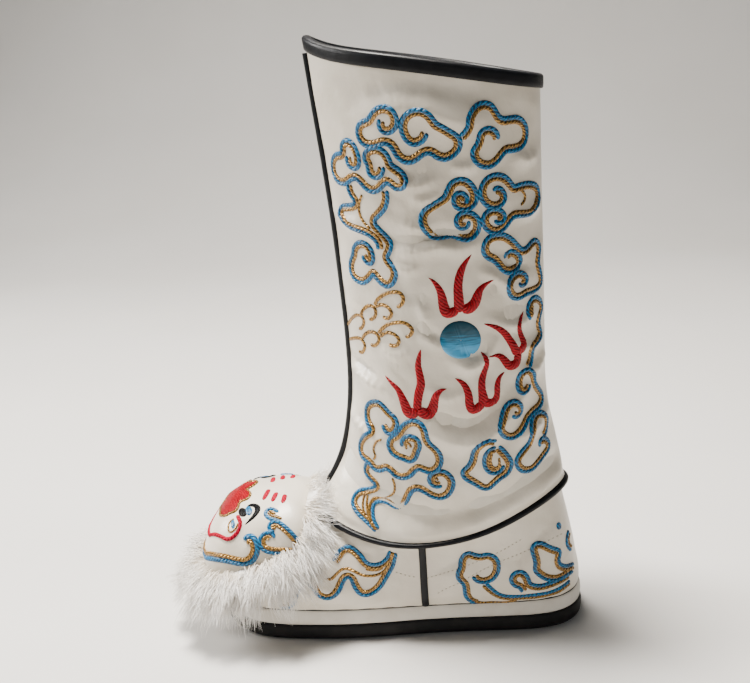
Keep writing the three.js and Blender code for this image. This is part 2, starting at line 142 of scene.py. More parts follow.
def angles(count: int) -> Array:
    """Even angles round a section, from the back seam."""
    return np.linspace(0, 2 * math.pi, count, endpoint=False)


def run_of(points: Array, axis: int = 0) -> Array:
    """Distance run along points, from the first."""
    steps = np.linalg.norm(np.diff(points, axis=axis), axis=-1)
    return np.insert(np.cumsum(steps, axis=axis), 0, 0, axis=axis)


def read_at(points: Array, run: Array, wanted: Array) -> Array:
    """Points at wanted distances along a line of points."""
    return np.stack([np.interp(wanted, run, column) for column in points.T], axis=1)


def resample(points: Array, step: float) -> Array:
    """Even points along a smooth curve.

    Args:
        points: Corner points that the curve passes through, with any further columns carried along.
        step: Distance between the new points, in the units of the first columns.

    Returns:
        The new points.
    """
    fine = through(points, np.linspace(0, len(points) - 1, 16 * (len(points) - 1) + 1))
    run = run_of(fine[:, :2])
    count = max(int(round(run[-1] / step)), 2) + 1
    return read_at(fine, run, np.linspace(0, run[-1], count))


def swept(origin: Array, across: Array, out: Array, section: Array) -> Array:
    """Rows of points made by a flat section carried along a line.

    Args:
        origin: Points of the line.
        across: Direction of the section's first axis at each point.
        out: Direction of its second axis at each point.
        section: The section's points.

    Returns:
        A row of points for each point of the line.
    """
    first, second = section[None, :, 0, None], section[None, :, 1, None]
    return origin[:, None] + first * across[:, None] + second * out[:, None]


def circle(radius: float, sides: int) -> Array:
    """Round section."""
    return radius * np.stack([np.cos(angles(sides)), np.sin(angles(sides))], axis=1)


def mesh_object(name: str, points: Array, faces: Array, uv: Array, sharp: float = 50) -> bpy.types.Object:
    """Makes a smooth-shaded mesh object.

    Args:
        name: Name of the piece.
        points: Points in millimetres.
        faces: Rows of three or four point numbers.
        uv: Surface coordinates of each point.
        sharp: Angle in degrees above which an edge is drawn sharp.

    Returns:
        The object, linked to the scene.
    """
    faces = np.asarray(faces, np.int32)
    mesh = bpy.data.meshes.new(name)
    mesh.vertices.add(len(points))
    mesh.vertices.foreach_set("co", (np.asarray(points, float) * MM).astype(np.float32).ravel())
    mesh.loops.add(faces.size)
    mesh.loops.foreach_set("vertex_index", faces.ravel())
    mesh.polygons.add(len(faces))
    width = faces.shape[1]
    mesh.polygons.foreach_set("loop_start", np.arange(0, faces.size, width, dtype=np.int32))
    mesh.polygons.foreach_set("loop_total", np.full(len(faces), width, np.int32))
    layer = mesh.uv_layers.new(name="surface")
    layer.data.foreach_set("uv", np.asarray(uv, np.float32)[faces.ravel()].ravel())
    mesh.update(calc_edges=True)
    mesh.validate()
    mesh.shade_smooth()
    mesh.set_sharp_from_angle(angle=math.radians(sharp))
    piece = bpy.data.objects.new(name, mesh)
    bpy.context.scene.collection.objects.link(piece)
    return piece


def grid_faces(rows: int, columns: int, wrap_rows: bool, wrap_columns: bool) -> Array:
    """Quads between the points of a grid.

    Args:
        rows: Number of rows of points.
        columns: Points in a row.
        wrap_rows: Whether the last row joins the first.
        wrap_columns: Whether the last point of a row joins its first.

    Returns:
        Rows of four point numbers.
    """
    r = np.arange(rows if wrap_rows else rows - 1)[:, None]
    c = np.arange(columns if wrap_columns else columns - 1)[None, :]
    up, on = (r + 1) % rows, (c + 1) % columns
    corners = [r * columns + c, r * columns + on, up * columns + on, up * columns + c]
    return np.stack([corner.ravel() for corner in corners], axis=1)


def surface_uv(rows: Array) -> Array:
    """Surface coordinates of a grid, in millimetres round and up."""
    return np.stack([run_of(rows, 1), run_of(rows, 0)], axis=2).reshape(-1, 2)


def hoop(name: str, rows: Array, closed: bool = True) -> bpy.types.Object:
    """Tube through closed rows of points, its last row joined to its first when closed."""
    faces = grid_faces(rows.shape[0], rows.shape[1], closed, True)
    return mesh_object(name, rows.reshape(-1, 3), faces, surface_uv(rows))


def capped(name: str, rows: Array) -> bpy.types.Object:
    """Solid through closed rows of points, each end drawn together at its middle.

    Args:
        name: Name of the piece.
        rows: The rows, from one end to the other.

    Returns:
        The piece.
    """
    ends = [rows[0].mean(axis=0), rows[-1].mean(axis=0)]
    shares = np.linspace(0, 1, 7)[:-1][:, None, None]
    low = ends[0] + (rows[0] - ends[0]) * np.maximum(shares, 1e-3)
    high = ends[1] + (rows[-1] - ends[1]) * np.maximum(shares[::-1], 1e-3)
    return hoop(name, np.concatenate([low, rows, high]), closed=False)


# Form of the boot

@dataclass(frozen=True)
class BootForm:
    """Outer form of the sole and the upper, section by section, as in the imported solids."""

    sole_length: float = 288
    ball_width: float = 96
    heel_width: float = 70
    sole_top: float = 26
    gap: float = 0.35
    toe_spring: float = 8
    spring_start: float = 0.83
    hem_heights: tuple[float, float, float] = (117, 86.5, 99)
    collar_heights: tuple[float, float, float] = (407, 423, 436)
    collar_peak: float = 6
    shaft_axis: float = 98.5
    shaft_depth: float = 145
    shaft_width: float = 90
    hem_flare: float = 3.6
    flare_fade: float = 0.9
    dip_forward: float = 1.15
    # rise, back, front, heel, waist, ball, toe, blunt, crease, peak
    foot_rows: tuple[tuple[float, ...], ...] = (
        (0.0, 0.01, 0.99, 0.94, 0.78, 0.95, 0.9, 8, 0.5, 0),
        (0.14, 0.006, 1.005, 1.0, 0.84, 1.01, 0.94, 8, 0.5, 0),
        (0.33, 0.017, 1.003, 1.0, 0.84, 1.0, 0.92, 7, 0.5, 0),
        (0.52, 0.03, 0.975, 0.97, 0.82, 0.96, 0.84, 6, 0.5, 0),
        (0.69, 0.04, 0.918, 0.94, 0.81, 0.91, 0.75, 5, 0.5, 0),
        (0.85, 0.048, 0.82, 0.93, 0.82, 0.87, 0.68, 4, 0.51, 0),
        (1.0, 0.056, 0.71, 0.97, 0.88, 0.88, 0.74, 3, 0.55, 0),
    )
    shaft_rows: tuple[tuple[float, ...], ...] = (
        (0.05, -0.566, 0.636, 0.98, 0.98, 0.97, 0.88, 2.7, 0.58, 0),
        (0.12, -0.545, 0.56, 1.0, 0.99, 0.98, 0.92, 2.5, 0.62, 0),
        (0.2, -0.515, 0.513, 1.0, 0.99, 0.98, 0.95, 2.4, 0.65, 0),
        (0.29, -0.5, 0.487, 1.0, 0.99, 0.98, 0.97, 2.3, 0.68, 0),
        (0.4, -0.5, 0.482, 1.0, 0.98, 0.97, 0.97, 2.3, 0.7, 0),
        (0.52, -0.5, 0.49, 1.0, 0.97, 0.96, 0.96, 2.3, 0.7, 0),
        (0.64, -0.498, 0.502, 1.0, 0.97, 0.96, 0.95, 2.2, 0.7, 0),
        (0.76, -0.495, 0.522, 1.0, 0.98, 0.96, 0.93, 2.2, 0.68, 0),
        (0.88, -0.494, 0.547, 1.0, 0.99, 0.97, 0.9, 2.1, 0.65, 0.3),
        (1.0, -0.494, 0.572, 1.0, 1.0, 0.98, 0.88, 2.1, 0.62, 1),
    )

    @property
    def hem_row(self) -> int:
        """Row number of the shaft's lower edge."""
        return len(self.foot_rows) - 1

    @property
    def collar_row(self) -> int:
        """Row number of the collar."""
        return self.hem_row + len(self.shaft_rows)

    def columns(self) -> Array:
        """Sections in millimetres.

        Returns:
            For each: back, front, three heights, four half widths, blunt, crease and peak.
        """
        floor = self.sole_top + self.gap
        wide = [self.heel_width] + 3 * [self.ball_width]
        made = []
        for rise, back, front, *widths, blunt, crease, peak in self.foot_rows:
            heights = [mix(floor, height, rise) for height in self.hem_heights]
            ends = [share * self.sole_length for share in (back, front)]
            halves = [share * width / 2 for share, width in zip(widths, wide)]
            made.append([*ends, *heights, *halves, blunt, crease, peak])
        for rise, back, front, *widths, blunt, crease, peak in self.shaft_rows:
            heights = [mix(low, high, rise) for low, high in zip(self.hem_heights, self.collar_heights)]
            ends = [self.shaft_axis + share * self.shaft_depth for share in (back, front)]
            halves = [share * self.shaft_width / 2 for share in widths]
            made.append([*ends, *heights, *halves, blunt, crease, peak * self.collar_peak])
        return np.array(made)

    def spring(self, station: Array) -> Array:
        """Rise of the sprung toe at a station."""
        share = (station / self.sole_length - self.spring_start) / (1 - self.spring_start)
        return self.toe_spring * np.maximum(share, 0) ** 2

    def place(self, station: Array, side: Array, height: Array) -> Array:
        """Points in the boot's frame from stations, sideways offsets and heights."""
        station, side, height = np.broadcast_arrays(station, side, height)
        return np.stack([side, self.sole_length / 2 - station, height], axis=-1)

    def outline(
        self, ends: tuple[Array, Array], halves: Array, blunt: Array, crease: Array, angle: Array
    ) -> tuple[Array, Array, Array]:
        """Plan outline of a section.

        Args:
            ends: Stations of the section's back and front.
            halves: Half widths at heel, waist, ball and toe, along the last axis.
            blunt: How square the ends are.
            crease: How sharply they are folded.
            angle: From 0 at the back to a half turn at the front.

        Returns:
            Share of the way forward, station and sideways offset.
        """
        along = -np.cos(angle)
        share = (1 + along) / 2
        read = 3 * share
        i = np.clip(np.floor(read).astype(int), 0, 2)
        near = [np.clip(i + k, 0, 3)[..., None] for k in (-1, 0, 1, 2)]
        half = cubic(*(np.take_along_axis(halves, k, axis=-1)[..., 0] for k in near), read - i)
        fullness = np.maximum(1 - np.abs(along) ** blunt, 0) ** crease
        return share, mix(*ends, share), np.sign(np.sin(angle)) * half * fullness

    def face(self, row: Array, angle: Array) -> Array:
        """The upper's outer face before any flare.

        Args:
            row: Section rows, counted up from the sole.
            angle: Angles round the sections.

        Returns:
            Points of the face.
        """
        row, angle = np.broadcast_arrays(np.asarray(row, float), np.asarray(angle, float))
        s = through(self.columns(), row)
        ends, halves = (s[..., 0], s[..., 1]), s[..., 5:9]
        share, station, side = self.outline(ends, halves, s[..., 9], s[..., 10], angle)
        dip = s[..., 3] - (s[..., 2] + s[..., 4]) / 2
        bow = np.sin(math.pi * share**self.dip_forward)
        height = mix(s[..., 2], s[..., 4], share) + bow * dip + s[..., 11] * share**12
        return self.place(station, side, height + self.spring(station))

    def frame(self, row: Array, angle: Array) -> tuple[Array, Array, Array]:
        """Directions of the wall.

        Args:
            row: Section rows, counted up from the sole.
            angle: Angles round the sections.

        Returns:
            Directions up the wall, round it and out of it.
        """
        row, angle = np.broadcast_arrays(np.asarray(row, float), np.asarray(angle, float))
        step = 1e-3
        above, below = np.minimum(row + step, self.collar_row), np.maximum(row - step, 0)
        up = unit(self.face(above, angle) - self.face(below, angle))
        around = unit(self.face(row, angle + step) - self.face(row, angle - step))
        return up, around, unit(np.cross(up, around))

    def flare(self, row: Array) -> Array:
        """How far the shaft's lower edge stands out, fading up the shaft."""
        above = row - self.hem_row
        return np.where(above < 0, 0, self.hem_flare * np.exp(-self.flare_fade * above))

    def skin(self, row: Array, angle: Array, offset: Array | float) -> Array:
        """The upper's face moved out, level at its two rims.

        Args:
            row: Section rows, counted up from the sole.
            angle: Angles round the sections.
            offset: How far it is moved.

        Returns:
            Points of the moved face.
        """
        row, angle = np.broadcast_arrays(np.asarray(row, float), np.asarray(angle, float))
        out = self.frame(row, angle)[2].copy()
        level = (row == 0) | (row == self.collar_row)
        out[..., 2] = np.where(level, 0, out[..., 2])
        offset = np.broadcast_to(offset, row.shape)
        return self.face(row, angle) + unit(out) * offset[..., None]

    def angle_at(self, row: Array, station: float) -> Array:
        """Angle round a section at which it passes a station on the wearer's left."""
        s = through(self.columns(), row)
        return np.arccos(np.clip(1 - 2 * (station - s[..., 0]) / (s[..., 1] - s[..., 0]), -1, 1))


FORM = BootForm()


# Where the photograph's camera stood

@dataclass(frozen=True)
class PhotoView:
    """Camera fitted to the photograph, in the boot's frame."""

    eye: tuple[float, float, float] = (608.8, 72.5, 430)
    heading: float = math.atan2(0.1149, -0.9934)
    pitch: float = math.radians(18.004)
    focal: float = 780
    centre: Point2 = (375, 341.5)
    tries: int = 60
    nudge: float = 0.6  # pixels by which a missed point is moved inward at each try

    def axes(self) -> tuple[Array, Array, Array]:
        """Directions of the picture.

        Returns:
            Forward, right and up.
        """
        ahead = np.array([math.cos(self.heading), math.sin(self.heading), 0])
        forward = ahead * math.cos(self.pitch) - UP * math.sin(self.pitch)
        upward = ahead * math.sin(self.pitch) + UP * math.cos(self.pitch)
        return forward, np.cross(forward, UP) / math.cos(self.pitch), upward

    def ray(self, x: float, y: float) -> Vector:
        """Direction in which a pixel of the photograph looks."""
        forward, right, up = self.axes()
        return Vector(unit(forward * self.focal + right * (x - self.centre[0]) - up * (y - self.centre[1])))

    def hit(self, tree: BVHTree, x: float, y: float, inward: float) -> Vector:
        """Point of a surface seen at a pixel.

        Args:
            tree: The surface, in millimetres.
            x: Column of the photograph.
            y: Row of the photograph.
            inward: Column towards which the pixel is moved until it meets the surface.

        Returns:
            The point.
        """
        for _ in range(self.tries):
            place, _, _, _ = tree.ray_cast(Vector(self.eye), self.ray(x, y))
            if place is not None:
                return place
            x += self.nudge * (1 if inward > x else -1)
        raise ValueError(f"no surface near pixel {x:.0f},{y:.0f}")


VIEW = PhotoView()


def tree_of(rows: Array, wrap: bool = True) -> BVHTree:
    """Search tree of a grid's surface, with its faces turned outward.

    Args:
        rows: Rows of points, in millimetres.
        wrap: Whether the last point of a row joins its first.

    Returns:
        The tree.
    """
    points = rows.reshape(-1, 3)
    faces = grid_faces(rows.shape[0], rows.shape[1], False, wrap)
    corners = points[faces]
    out = np.cross(corners[:, 1] - corners[:, 0], corners[:, 2] - corners[:, 0])
    if (out * (corners.mean(axis=1) - points.mean(axis=0))).sum() < 0:
        faces = faces[:, ::-1]
    return BVHTree.FromPolygons(points.tolist(), faces.tolist())


# Finishes

class Nodes:
    """Small helper that lays out a material's nodes."""

    rib_share = 3.14

    def __init__(self, name: str) -> None:
        """Starts an empty material.

        Args:
            name: The material's name.
        """
        self.material = bpy.data.materials.new(name)
        self.material.use_nodes = True
        self.tree = self.material.node_tree
        self.tree.nodes.clear()
        self.shader = self.tree.nodes.new("ShaderNodeBsdfPrincipled")
        output = self.tree.nodes.new("ShaderNodeOutputMaterial")
        self.link(self.shader.outputs["BSDF"], output.inputs["Surface"])

    def add(self, kind: str, **values: object) -> bpy.types.Node:
        """Adds a node.

        Args:
            kind: Its type.
            **values: Its inputs, by name with a line for a space, or else its properties.

        Returns:
            The node.
        """
        node = self.tree.nodes.new(kind)
        for key, value in values.items():
            label = key.replace("_", " ")
            if label in node.inputs:
                node.inputs[label].default_value = value
            else:
                setattr(node, key, value)
        return node

    def link(self, source: Socket, target: Socket) -> None:
        """Joins two sockets."""
        self.tree.links.new(source, target)

    def set(self, **values: object) -> None:
        """Sets the shader's own inputs by name."""
        for key, value in values.items():
            self.shader.inputs[key.replace("_", " ")].default_value = value

    def place(self, scale: tuple[float, float, float] = (1, 1, 1), surface: bool = False) -> Socket:
        """Coordinates of the object or of its surface.

        Args:
            scale: What they are multiplied by.
            surface: Whether they run on the surface.

        Returns:
            The coordinates.
        """
        where = self.add("ShaderNodeTexCoord")
        mapping = self.add("ShaderNodeMapping", Scale=scale)
        self.link(where.outputs["UV" if surface else "Object"], mapping.inputs["Vector"])
        return mapping.outputs["Vector"]

    def noise(self, vector: Socket, scale: float, detail: float) -> Socket:
        """Cloudy noise.

        Args:
            vector: Coordinates.
            scale: How fine it is.
            detail: How many finer layers it has.

        Returns:
            The noise.
        """
        node = self.add("ShaderNodeTexNoise", Scale=scale, Detail=detail)
        self.link(vector, node.inputs["Vector"])
        return node.outputs["Fac"]

    def ribs(self, vector: Socket, pitch: float, direction: str, waver: float) -> Socket:
        """Even ribs.

        Args:
            vector: Coordinates in millimetres.
            pitch: How far apart they are, about half as far again on the surface.
            direction: Axis along which they follow each other.
            waver: How far they waver.

        Returns:
            The ribs.
        """
        scale = 1 / pitch / self.rib_share
        node = self.add("ShaderNodeTexWave", bands_direction=direction, Scale=scale, Distortion=waver)
        self.link(vector, node.inputs["Vector"])
        return node.outputs["Fac"]

    def ramp(self, share: Socket, stops: list[tuple[float, Colour]]) -> Socket:
        """Colour read from stops.

        Args:
            share: Where it is read.
            stops: Positions and colours.

        Returns:
            The colour.
        """
        node = self.add("ShaderNodeValToRGB")
        elements = node.color_ramp.elements
        while len(elements) < len(stops):
            elements.new(0.5)
        for element, (position, colour) in zip(elements, stops):
            element.position = position
            element.color = (*colour, 1)
        self.link(share, node.inputs["Fac"])
        return node.outputs["Color"]

    def spread(self, share: Socket, low: float, high: float) -> Socket:
        """A share spread between two values.

        Args:
            share: The share, from 0 to 1.
            low: Value at 0.
            high: Value at 1.

        Returns:
            The value.
        """
        node = self.add("ShaderNodeMapRange", To_Min=low, To_Max=high)
        self.link(share, node.inputs["Value"])
        return node.outputs["Result"]

    def sum(self, part: Socket, share: float, rest: Socket) -> Socket:
        """A share of one value added to another.

        Args:
            part: The value of which a share is added.
            share: The share.
            rest: The other value.

        Returns:
            The sum.
        """
        node = self.add("ShaderNodeMath", operation="MULTIPLY_ADD")
        node.inputs[1].default_value = share
        self.link(part, node.inputs[0])
        self.link(rest, node.inputs[2])
        return node.outputs["Value"]

    def bump(self, height: Socket, strength: float, distance: float, under: Socket | None = None) -> Socket:
        """Fine relief.

        Args:
            height: Its height.
            strength: How strongly it shades.
            distance: How high it stands, in metres.
            under: Another relief that it lies on.

        Returns:
            The relief.
        """
        node = self.add("ShaderNodeBump", Strength=strength, Distance=distance)
        self.link(height, node.inputs["Height"])
        if under is not None:
            self.link(under, node.inputs["Normal"])
        return node.outputs["Normal"]

    def finish(
        self, colour: Socket, roughness: Socket | None = None, normal: Socket | None = None
    ) -> bpy.types.Material:
        """Joins what varies over the surface to the shader.

        Args:
            colour: The colour.
            roughness: The roughness.
            normal: The relief.

        Returns:
            The material.
        """
        for source, name in ((colour, "Base Color"), (roughness, "Roughness"), (normal, "Normal")):
            if source is not None:
                self.link(source, self.shader.inputs[name])
        return self.material


@dataclass(frozen=True)
class Satin:
    """Heavy ivory satin: a fine warp rib, a soft gloss and a faint unevenness of colour."""

    name: str = "ivory satin"
    light: Colour = (0.75, 0.69, 0.585)
    dark: Colour = (0.64, 0.575, 0.47)
    rib_pitch: float = 0.55

    def make(self) -> bpy.types.Material:
        """Lays out the nodes.

        Returns:
            The material.
        """
        nodes = Nodes(self.name)
        nodes.set(Sheen_Weight=0.15, Sheen_Roughness=0.35, Specular_IOR_Level=0.55)
        nodes.set(Coat_Weight=0.3, Coat_Roughness=0.3)
        body, surface = nodes.place(), nodes.place(surface=True)
        colour = nodes.ramp(nodes.noise(body, 28, 4), [(0.3, self.dark), (0.7, self.light)])
        rough = nodes.spread(nodes.noise(body, 90, 3), 0.32, 0.44)
        ribs = nodes.ribs(surface, self.rib_pitch, "X", 0.3)
        relief = nodes.bump(ribs, 0.12, 0.0001)
        relief = nodes.bump(nodes.noise(body, 220, 4), 0.18, 0.0005, relief)
        relief = nodes.bump(nodes.noise(body, 55, 4), 0.45, 0.0022, relief)
        return nodes.finish(colour, rough, relief)


@dataclass(frozen=True)
class WovenCloth:
    """Plain cotton, with a square weave and small slubs."""

    name: str
    light: Colour
    dark: Colour
    thread: float = 0.7
    roughness: float = 0.75

    def make(self) -> bpy.types.Material:
        """Lays out the nodes.

        Returns:
            The material.
        """
        nodes = Nodes(self.name)
        nodes.set(Sheen_Weight=0.3, Sheen_Roughness=0.6, Specular_IOR_Level=0.3)
        body, surface = nodes.place(), nodes.place(surface=True)
        colour = nodes.ramp(nodes.noise(body, 60, 5), [(0.3, self.dark), (0.72, self.light)])
        rough = nodes.spread(nodes.noise(body, 150, 2), self.roughness - 0.06, self.roughness + 0.08)
        warp = nodes.ribs(surface, self.thread, "X", 0.5)
        weft = nodes.ribs(surface, self.thread, "Y", 0.5)
        relief = nodes.bump(weft, 0.25, 0.0002, nodes.bump(warp, 0.25, 0.0002))
        relief = nodes.bump(nodes.noise(body, 300, 3), 0.2, 0.0005, relief)
        return nodes.finish(colour, rough, relief)


@dataclass(frozen=True)
class CoatedCloth:
    """Black bias binding with a coated, slightly worn gloss."""

    name: str = "black coated binding"
    colour: Colour = (0.0025, 0.0028, 0.004)
    worn: Colour = (0.008, 0.009, 0.012)
    rib_pitch: float = 0.29

    def make(self) -> bpy.types.Material:
        """Lays out the nodes.

        Returns:
            The material.
        """
        nodes = Nodes(self.name)
        nodes.set(Coat_Weight=0.07, Coat_Roughness=0.18, Specular_IOR_Level=0.16)
        body, surface = nodes.place(), nodes.place(surface=True)
        colour = nodes.ramp(nodes.noise(body, 120, 4), [(0.4, self.colour), (0.85, self.worn)])
        rough = nodes.spread(nodes.noise(body, 240, 3), 0.3, 0.5)
        relief = nodes.bump(nodes.ribs(surface, self.rib_pitch, "DIAGONAL", 0.6), 0.2, 0.0002)
        relief = nodes.bump(nodes.noise(body, 260, 2), 0.25, 0.0006, relief)
        return nodes.finish(colour, rough, relief)


@dataclass(frozen=True)
class Rubber:
    """Matt black sole rubber with a fine moulded grain and a little dust."""

    name: str = "black sole rubber"
    colour: Colour = (0.004, 0.004, 0.005)
    dust: Colour = (0.016, 0.014, 0.013)

    def make(self) -> bpy.types.Material:
        """Lays out the nodes.

        Returns:
            The material.
        """
        nodes = Nodes(self.name)
        nodes.set(Specular_IOR_Level=0.25)
        body = nodes.place()
        colour = nodes.ramp(nodes.noise(body, 70, 6), [(0.45, self.colour), (0.9, self.dust)])
        rough = nodes.spread(nodes.noise(body, 120, 3), 0.55, 0.8)
        relief = nodes.bump(nodes.noise(body, 900, 3), 0.3, 0.0004)
        return nodes.finish(colour, rough, relief)


@dataclass(frozen=True)
class ThreadWithPaintedGlints:
    """Silky or metal embroidery thread laid side by side, with glints painted into its colour along the
    stitches over a random change of tone.
    """

    name: str
    # The first colour is the thread's own darker tone; the second is a painted highlight where the stitches
    # seem to catch the light.
    deep: Colour
    painted_highlight: Colour
    metallic: float = 0.0
    roughness: float = 0.35
    pitch: float = 1.45
    coat: float = 0.25
    gloss: float = 0.45

    def make(self) -> bpy.types.Material:
        """Lays out the nodes.

        Returns:
            The material.
        """
        nodes = Nodes(self.name)
        nodes.set(Metallic=self.metallic, Specular_IOR_Level=self.gloss)
        nodes.set(Coat_Weight=self.coat, Coat_Roughness=0.22)
        body, surface = nodes.place(), nodes.place(surface=True)
        stitches = nodes.ribs(surface, self.pitch, "DIAGONAL", 0.5)
        # Painted glint: the colour is lightened along each stitch row, over random noise that varies the
        # tone.
        painted_glint = nodes.sum(stitches, 0.34, nodes.noise(body, 620, 2))
        colour = nodes.ramp(painted_glint, [(0.45, self.deep), (0.9, self.painted_highlight)])
        rough = nodes.spread(nodes.noise(body, 900, 2), self.roughness - 0.16, self.roughness + 0.1)
        relief = nodes.bump(stitches, 0.7, 0.0006)
        return nodes.finish(colour, rough, relief)


@dataclass(frozen=True)
class SilkFillWithPaintedHighlight:
    """Level satin stitches of the pearl, dark teal above and a painted highlight of bright blue below,
    lighter by height towards the bottom, with random streaks of tone.
    """

    name: str = "pearl silk with painted highlight"
    dark: Colour = (0.001, 0.045, 0.075)
    middle: Colour = (0.003, 0.085, 0.15)
    painted_highlight: Colour = (0.03, 0.30, 0.56)
    bottom: float = 0.231  # heights in metres between which the painted highlight comes in
    top: float = 0.258
    shares: Point2 = (-0.35, 0.65)  # how far the painted highlight has come in at the top and at the bottom
    streak_scale: tuple[float, float, float] = (90, 90, 900)

    def make(self) -> bpy.types.Material:
        """Lays out the nodes.

        Returns:
            The material.
        """
        nodes = Nodes(self.name)
        nodes.set(Specular_IOR_Level=0.35, Coat_Weight=0.15, Coat_Roughness=0.25)
        split = nodes.add("ShaderNodeSeparateXYZ")
        nodes.link(nodes.place(), split.inputs["Vector"])
        streaks = nodes.noise(nodes.place(self.streak_scale), 1, 3)
        # Painted highlight: the colour is lightened towards the bottom of the pearl, by height.
        down = nodes.add("ShaderNodeMapRange", From_Min=self.top, From_Max=self.bottom)
        for name, share in zip(("To Min", "To Max"), self.shares):
            down.inputs[name].default_value = share
        nodes.link(split.outputs["Z"], down.inputs["Value"])
        stops = [(0.3, self.dark), (0.55, self.middle), (0.85, self.painted_highlight)]
        colour = nodes.ramp(nodes.sum(streaks, 0.7, down.outputs["Result"]), stops)
        relief = nodes.bump(streaks, 0.5, 0.0004)
        return nodes.finish(colour, nodes.spread(streaks, 0.3, 0.5), relief)


@dataclass(frozen=True)
class Fleece:
    """Long ivory fur, warmer at the roots and whiter at the tips."""

    name: str = "ivory fur"
    root: Colour = (0.80, 0.72, 0.60)
    tip: Colour = (0.97, 0.945, 0.905)
    shade: Colour = (0.93, 0.90, 0.86)

    def make(self) -> bpy.types.Material:
        """Lays out the nodes.

        Returns:
            The material.
        """
        nodes = Nodes(self.name)
        nodes.set(Sheen_Weight=0.4, Sheen_Roughness=0.4, Specular_IOR_Level=0.4)
        where = nodes.add("ShaderNodeTexCoord")
        split = nodes.add("ShaderNodeSeparateXYZ")
        nodes.link(where.outputs["UV"], split.inputs["Vector"])
        along = nodes.ramp(split.outputs["Y"], [(0.0, self.root), (0.55, self.tip)])
        shade = nodes.ramp(nodes.noise(nodes.place(), 160, 3), [(0.25, self.shade), (0.6, (1, 1, 1))])
        blend = nodes.add("ShaderNodeMix", data_type="RGBA", blend_type="MULTIPLY")
        blend.inputs["Factor"].default_value = 1
        nodes.link(along, blend.inputs[6])
        nodes.link(shade, blend.inputs[7])
        rough = nodes.spread(nodes.noise(nodes.place(), 300, 2), 0.45, 0.65)
        return nodes.finish(blend.outputs[2], rough)


@dataclass
class Wardrobe:
    """Every finish of the boot, made once."""

    made: dict[str, bpy.types.Material] = field(default_factory=dict)

    def of(self, finish: object) -> bpy.types.Material:
        """The material of a finish."""
        if finish.name not in self.made:
            self.made[finish.name] = finish.make()
        return self.made[finish.name]


WARDROBE = Wardrobe()
SATIN = Satin()
MIDSOLE_CLOTH = WovenCloth("white sole cloth", (0.78, 0.74, 0.66), (0.66, 0.61, 0.53))
LINING_CLOTH = WovenCloth("cotton lining", (0.74, 0.70, 0.61), (0.60, 0.55, 0.46), thread=0.9)
BINDING = CoatedCloth()
RUBBER = Rubber()
# Each thread's second colour is a painted highlight along its stitches.
BLUE = ThreadWithPaintedGlints("blue thread", (0.0006, 0.030, 0.09), (0.006, 0.20, 0.44), coat=0.2, gloss=0.3)
GOLD = ThreadWithPaintedGlints("gold thread", (0.08, 0.034, 0.005), (0.48, 0.26, 0.055), metallic=0.6, roughness=0.3)
RED = ThreadWithPaintedGlints("red thread", (0.16, 0.0006, 0.004), (0.44, 0.002, 0.012), 0, 0.45, coat=0.04, gloss=0.16)
PEARL = SilkFillWithPaintedHighlight()
CRIMSON = ThreadWithPaintedGlints("crimson thread", (0.20, 0.0005, 0.012), (0.46, 0.001, 0.028), 0, 0.5, coat=0, gloss=0.08)
NOSE_RED = ThreadWithPaintedGlints("nose thread", (0.12, 0.0004, 0.003), (0.36, 0.0012, 0.01), 0, 0.5, coat=0, gloss=0.08)
BLACK = ThreadWithPaintedGlints("black thread", (0.0008, 0.0008, 0.001), (0.003, 0.003, 0.004), 0, 0.5, coat=0, gloss=0.1)
# Sewing thread made darker than the satin, standing in for the painted shade of the dimples that the
# stitches sit in.
CREAM_WITH_PAINTED_SHADE = ThreadWithPaintedGlints("cream sewing thread", (0.34, 0.28, 0.20), (0.50, 0.43, 0.33), coat=0.0, gloss=0.2)
FUR = Fleece()


def dress(piece: bpy.types.Object, finish: object, slot: Slot | None, *replaces: str) -> None:
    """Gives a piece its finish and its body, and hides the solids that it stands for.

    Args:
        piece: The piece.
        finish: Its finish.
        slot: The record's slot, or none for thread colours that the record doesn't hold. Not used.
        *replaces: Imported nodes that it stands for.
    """
    piece.data.materials.append(WARDROBE.of(finish))
    if replaces:
        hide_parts(*replaces)
    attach(piece, BODY)
    LOG.info("%s: %d faces", piece.name, len(piece.data.polygons))


# Sole

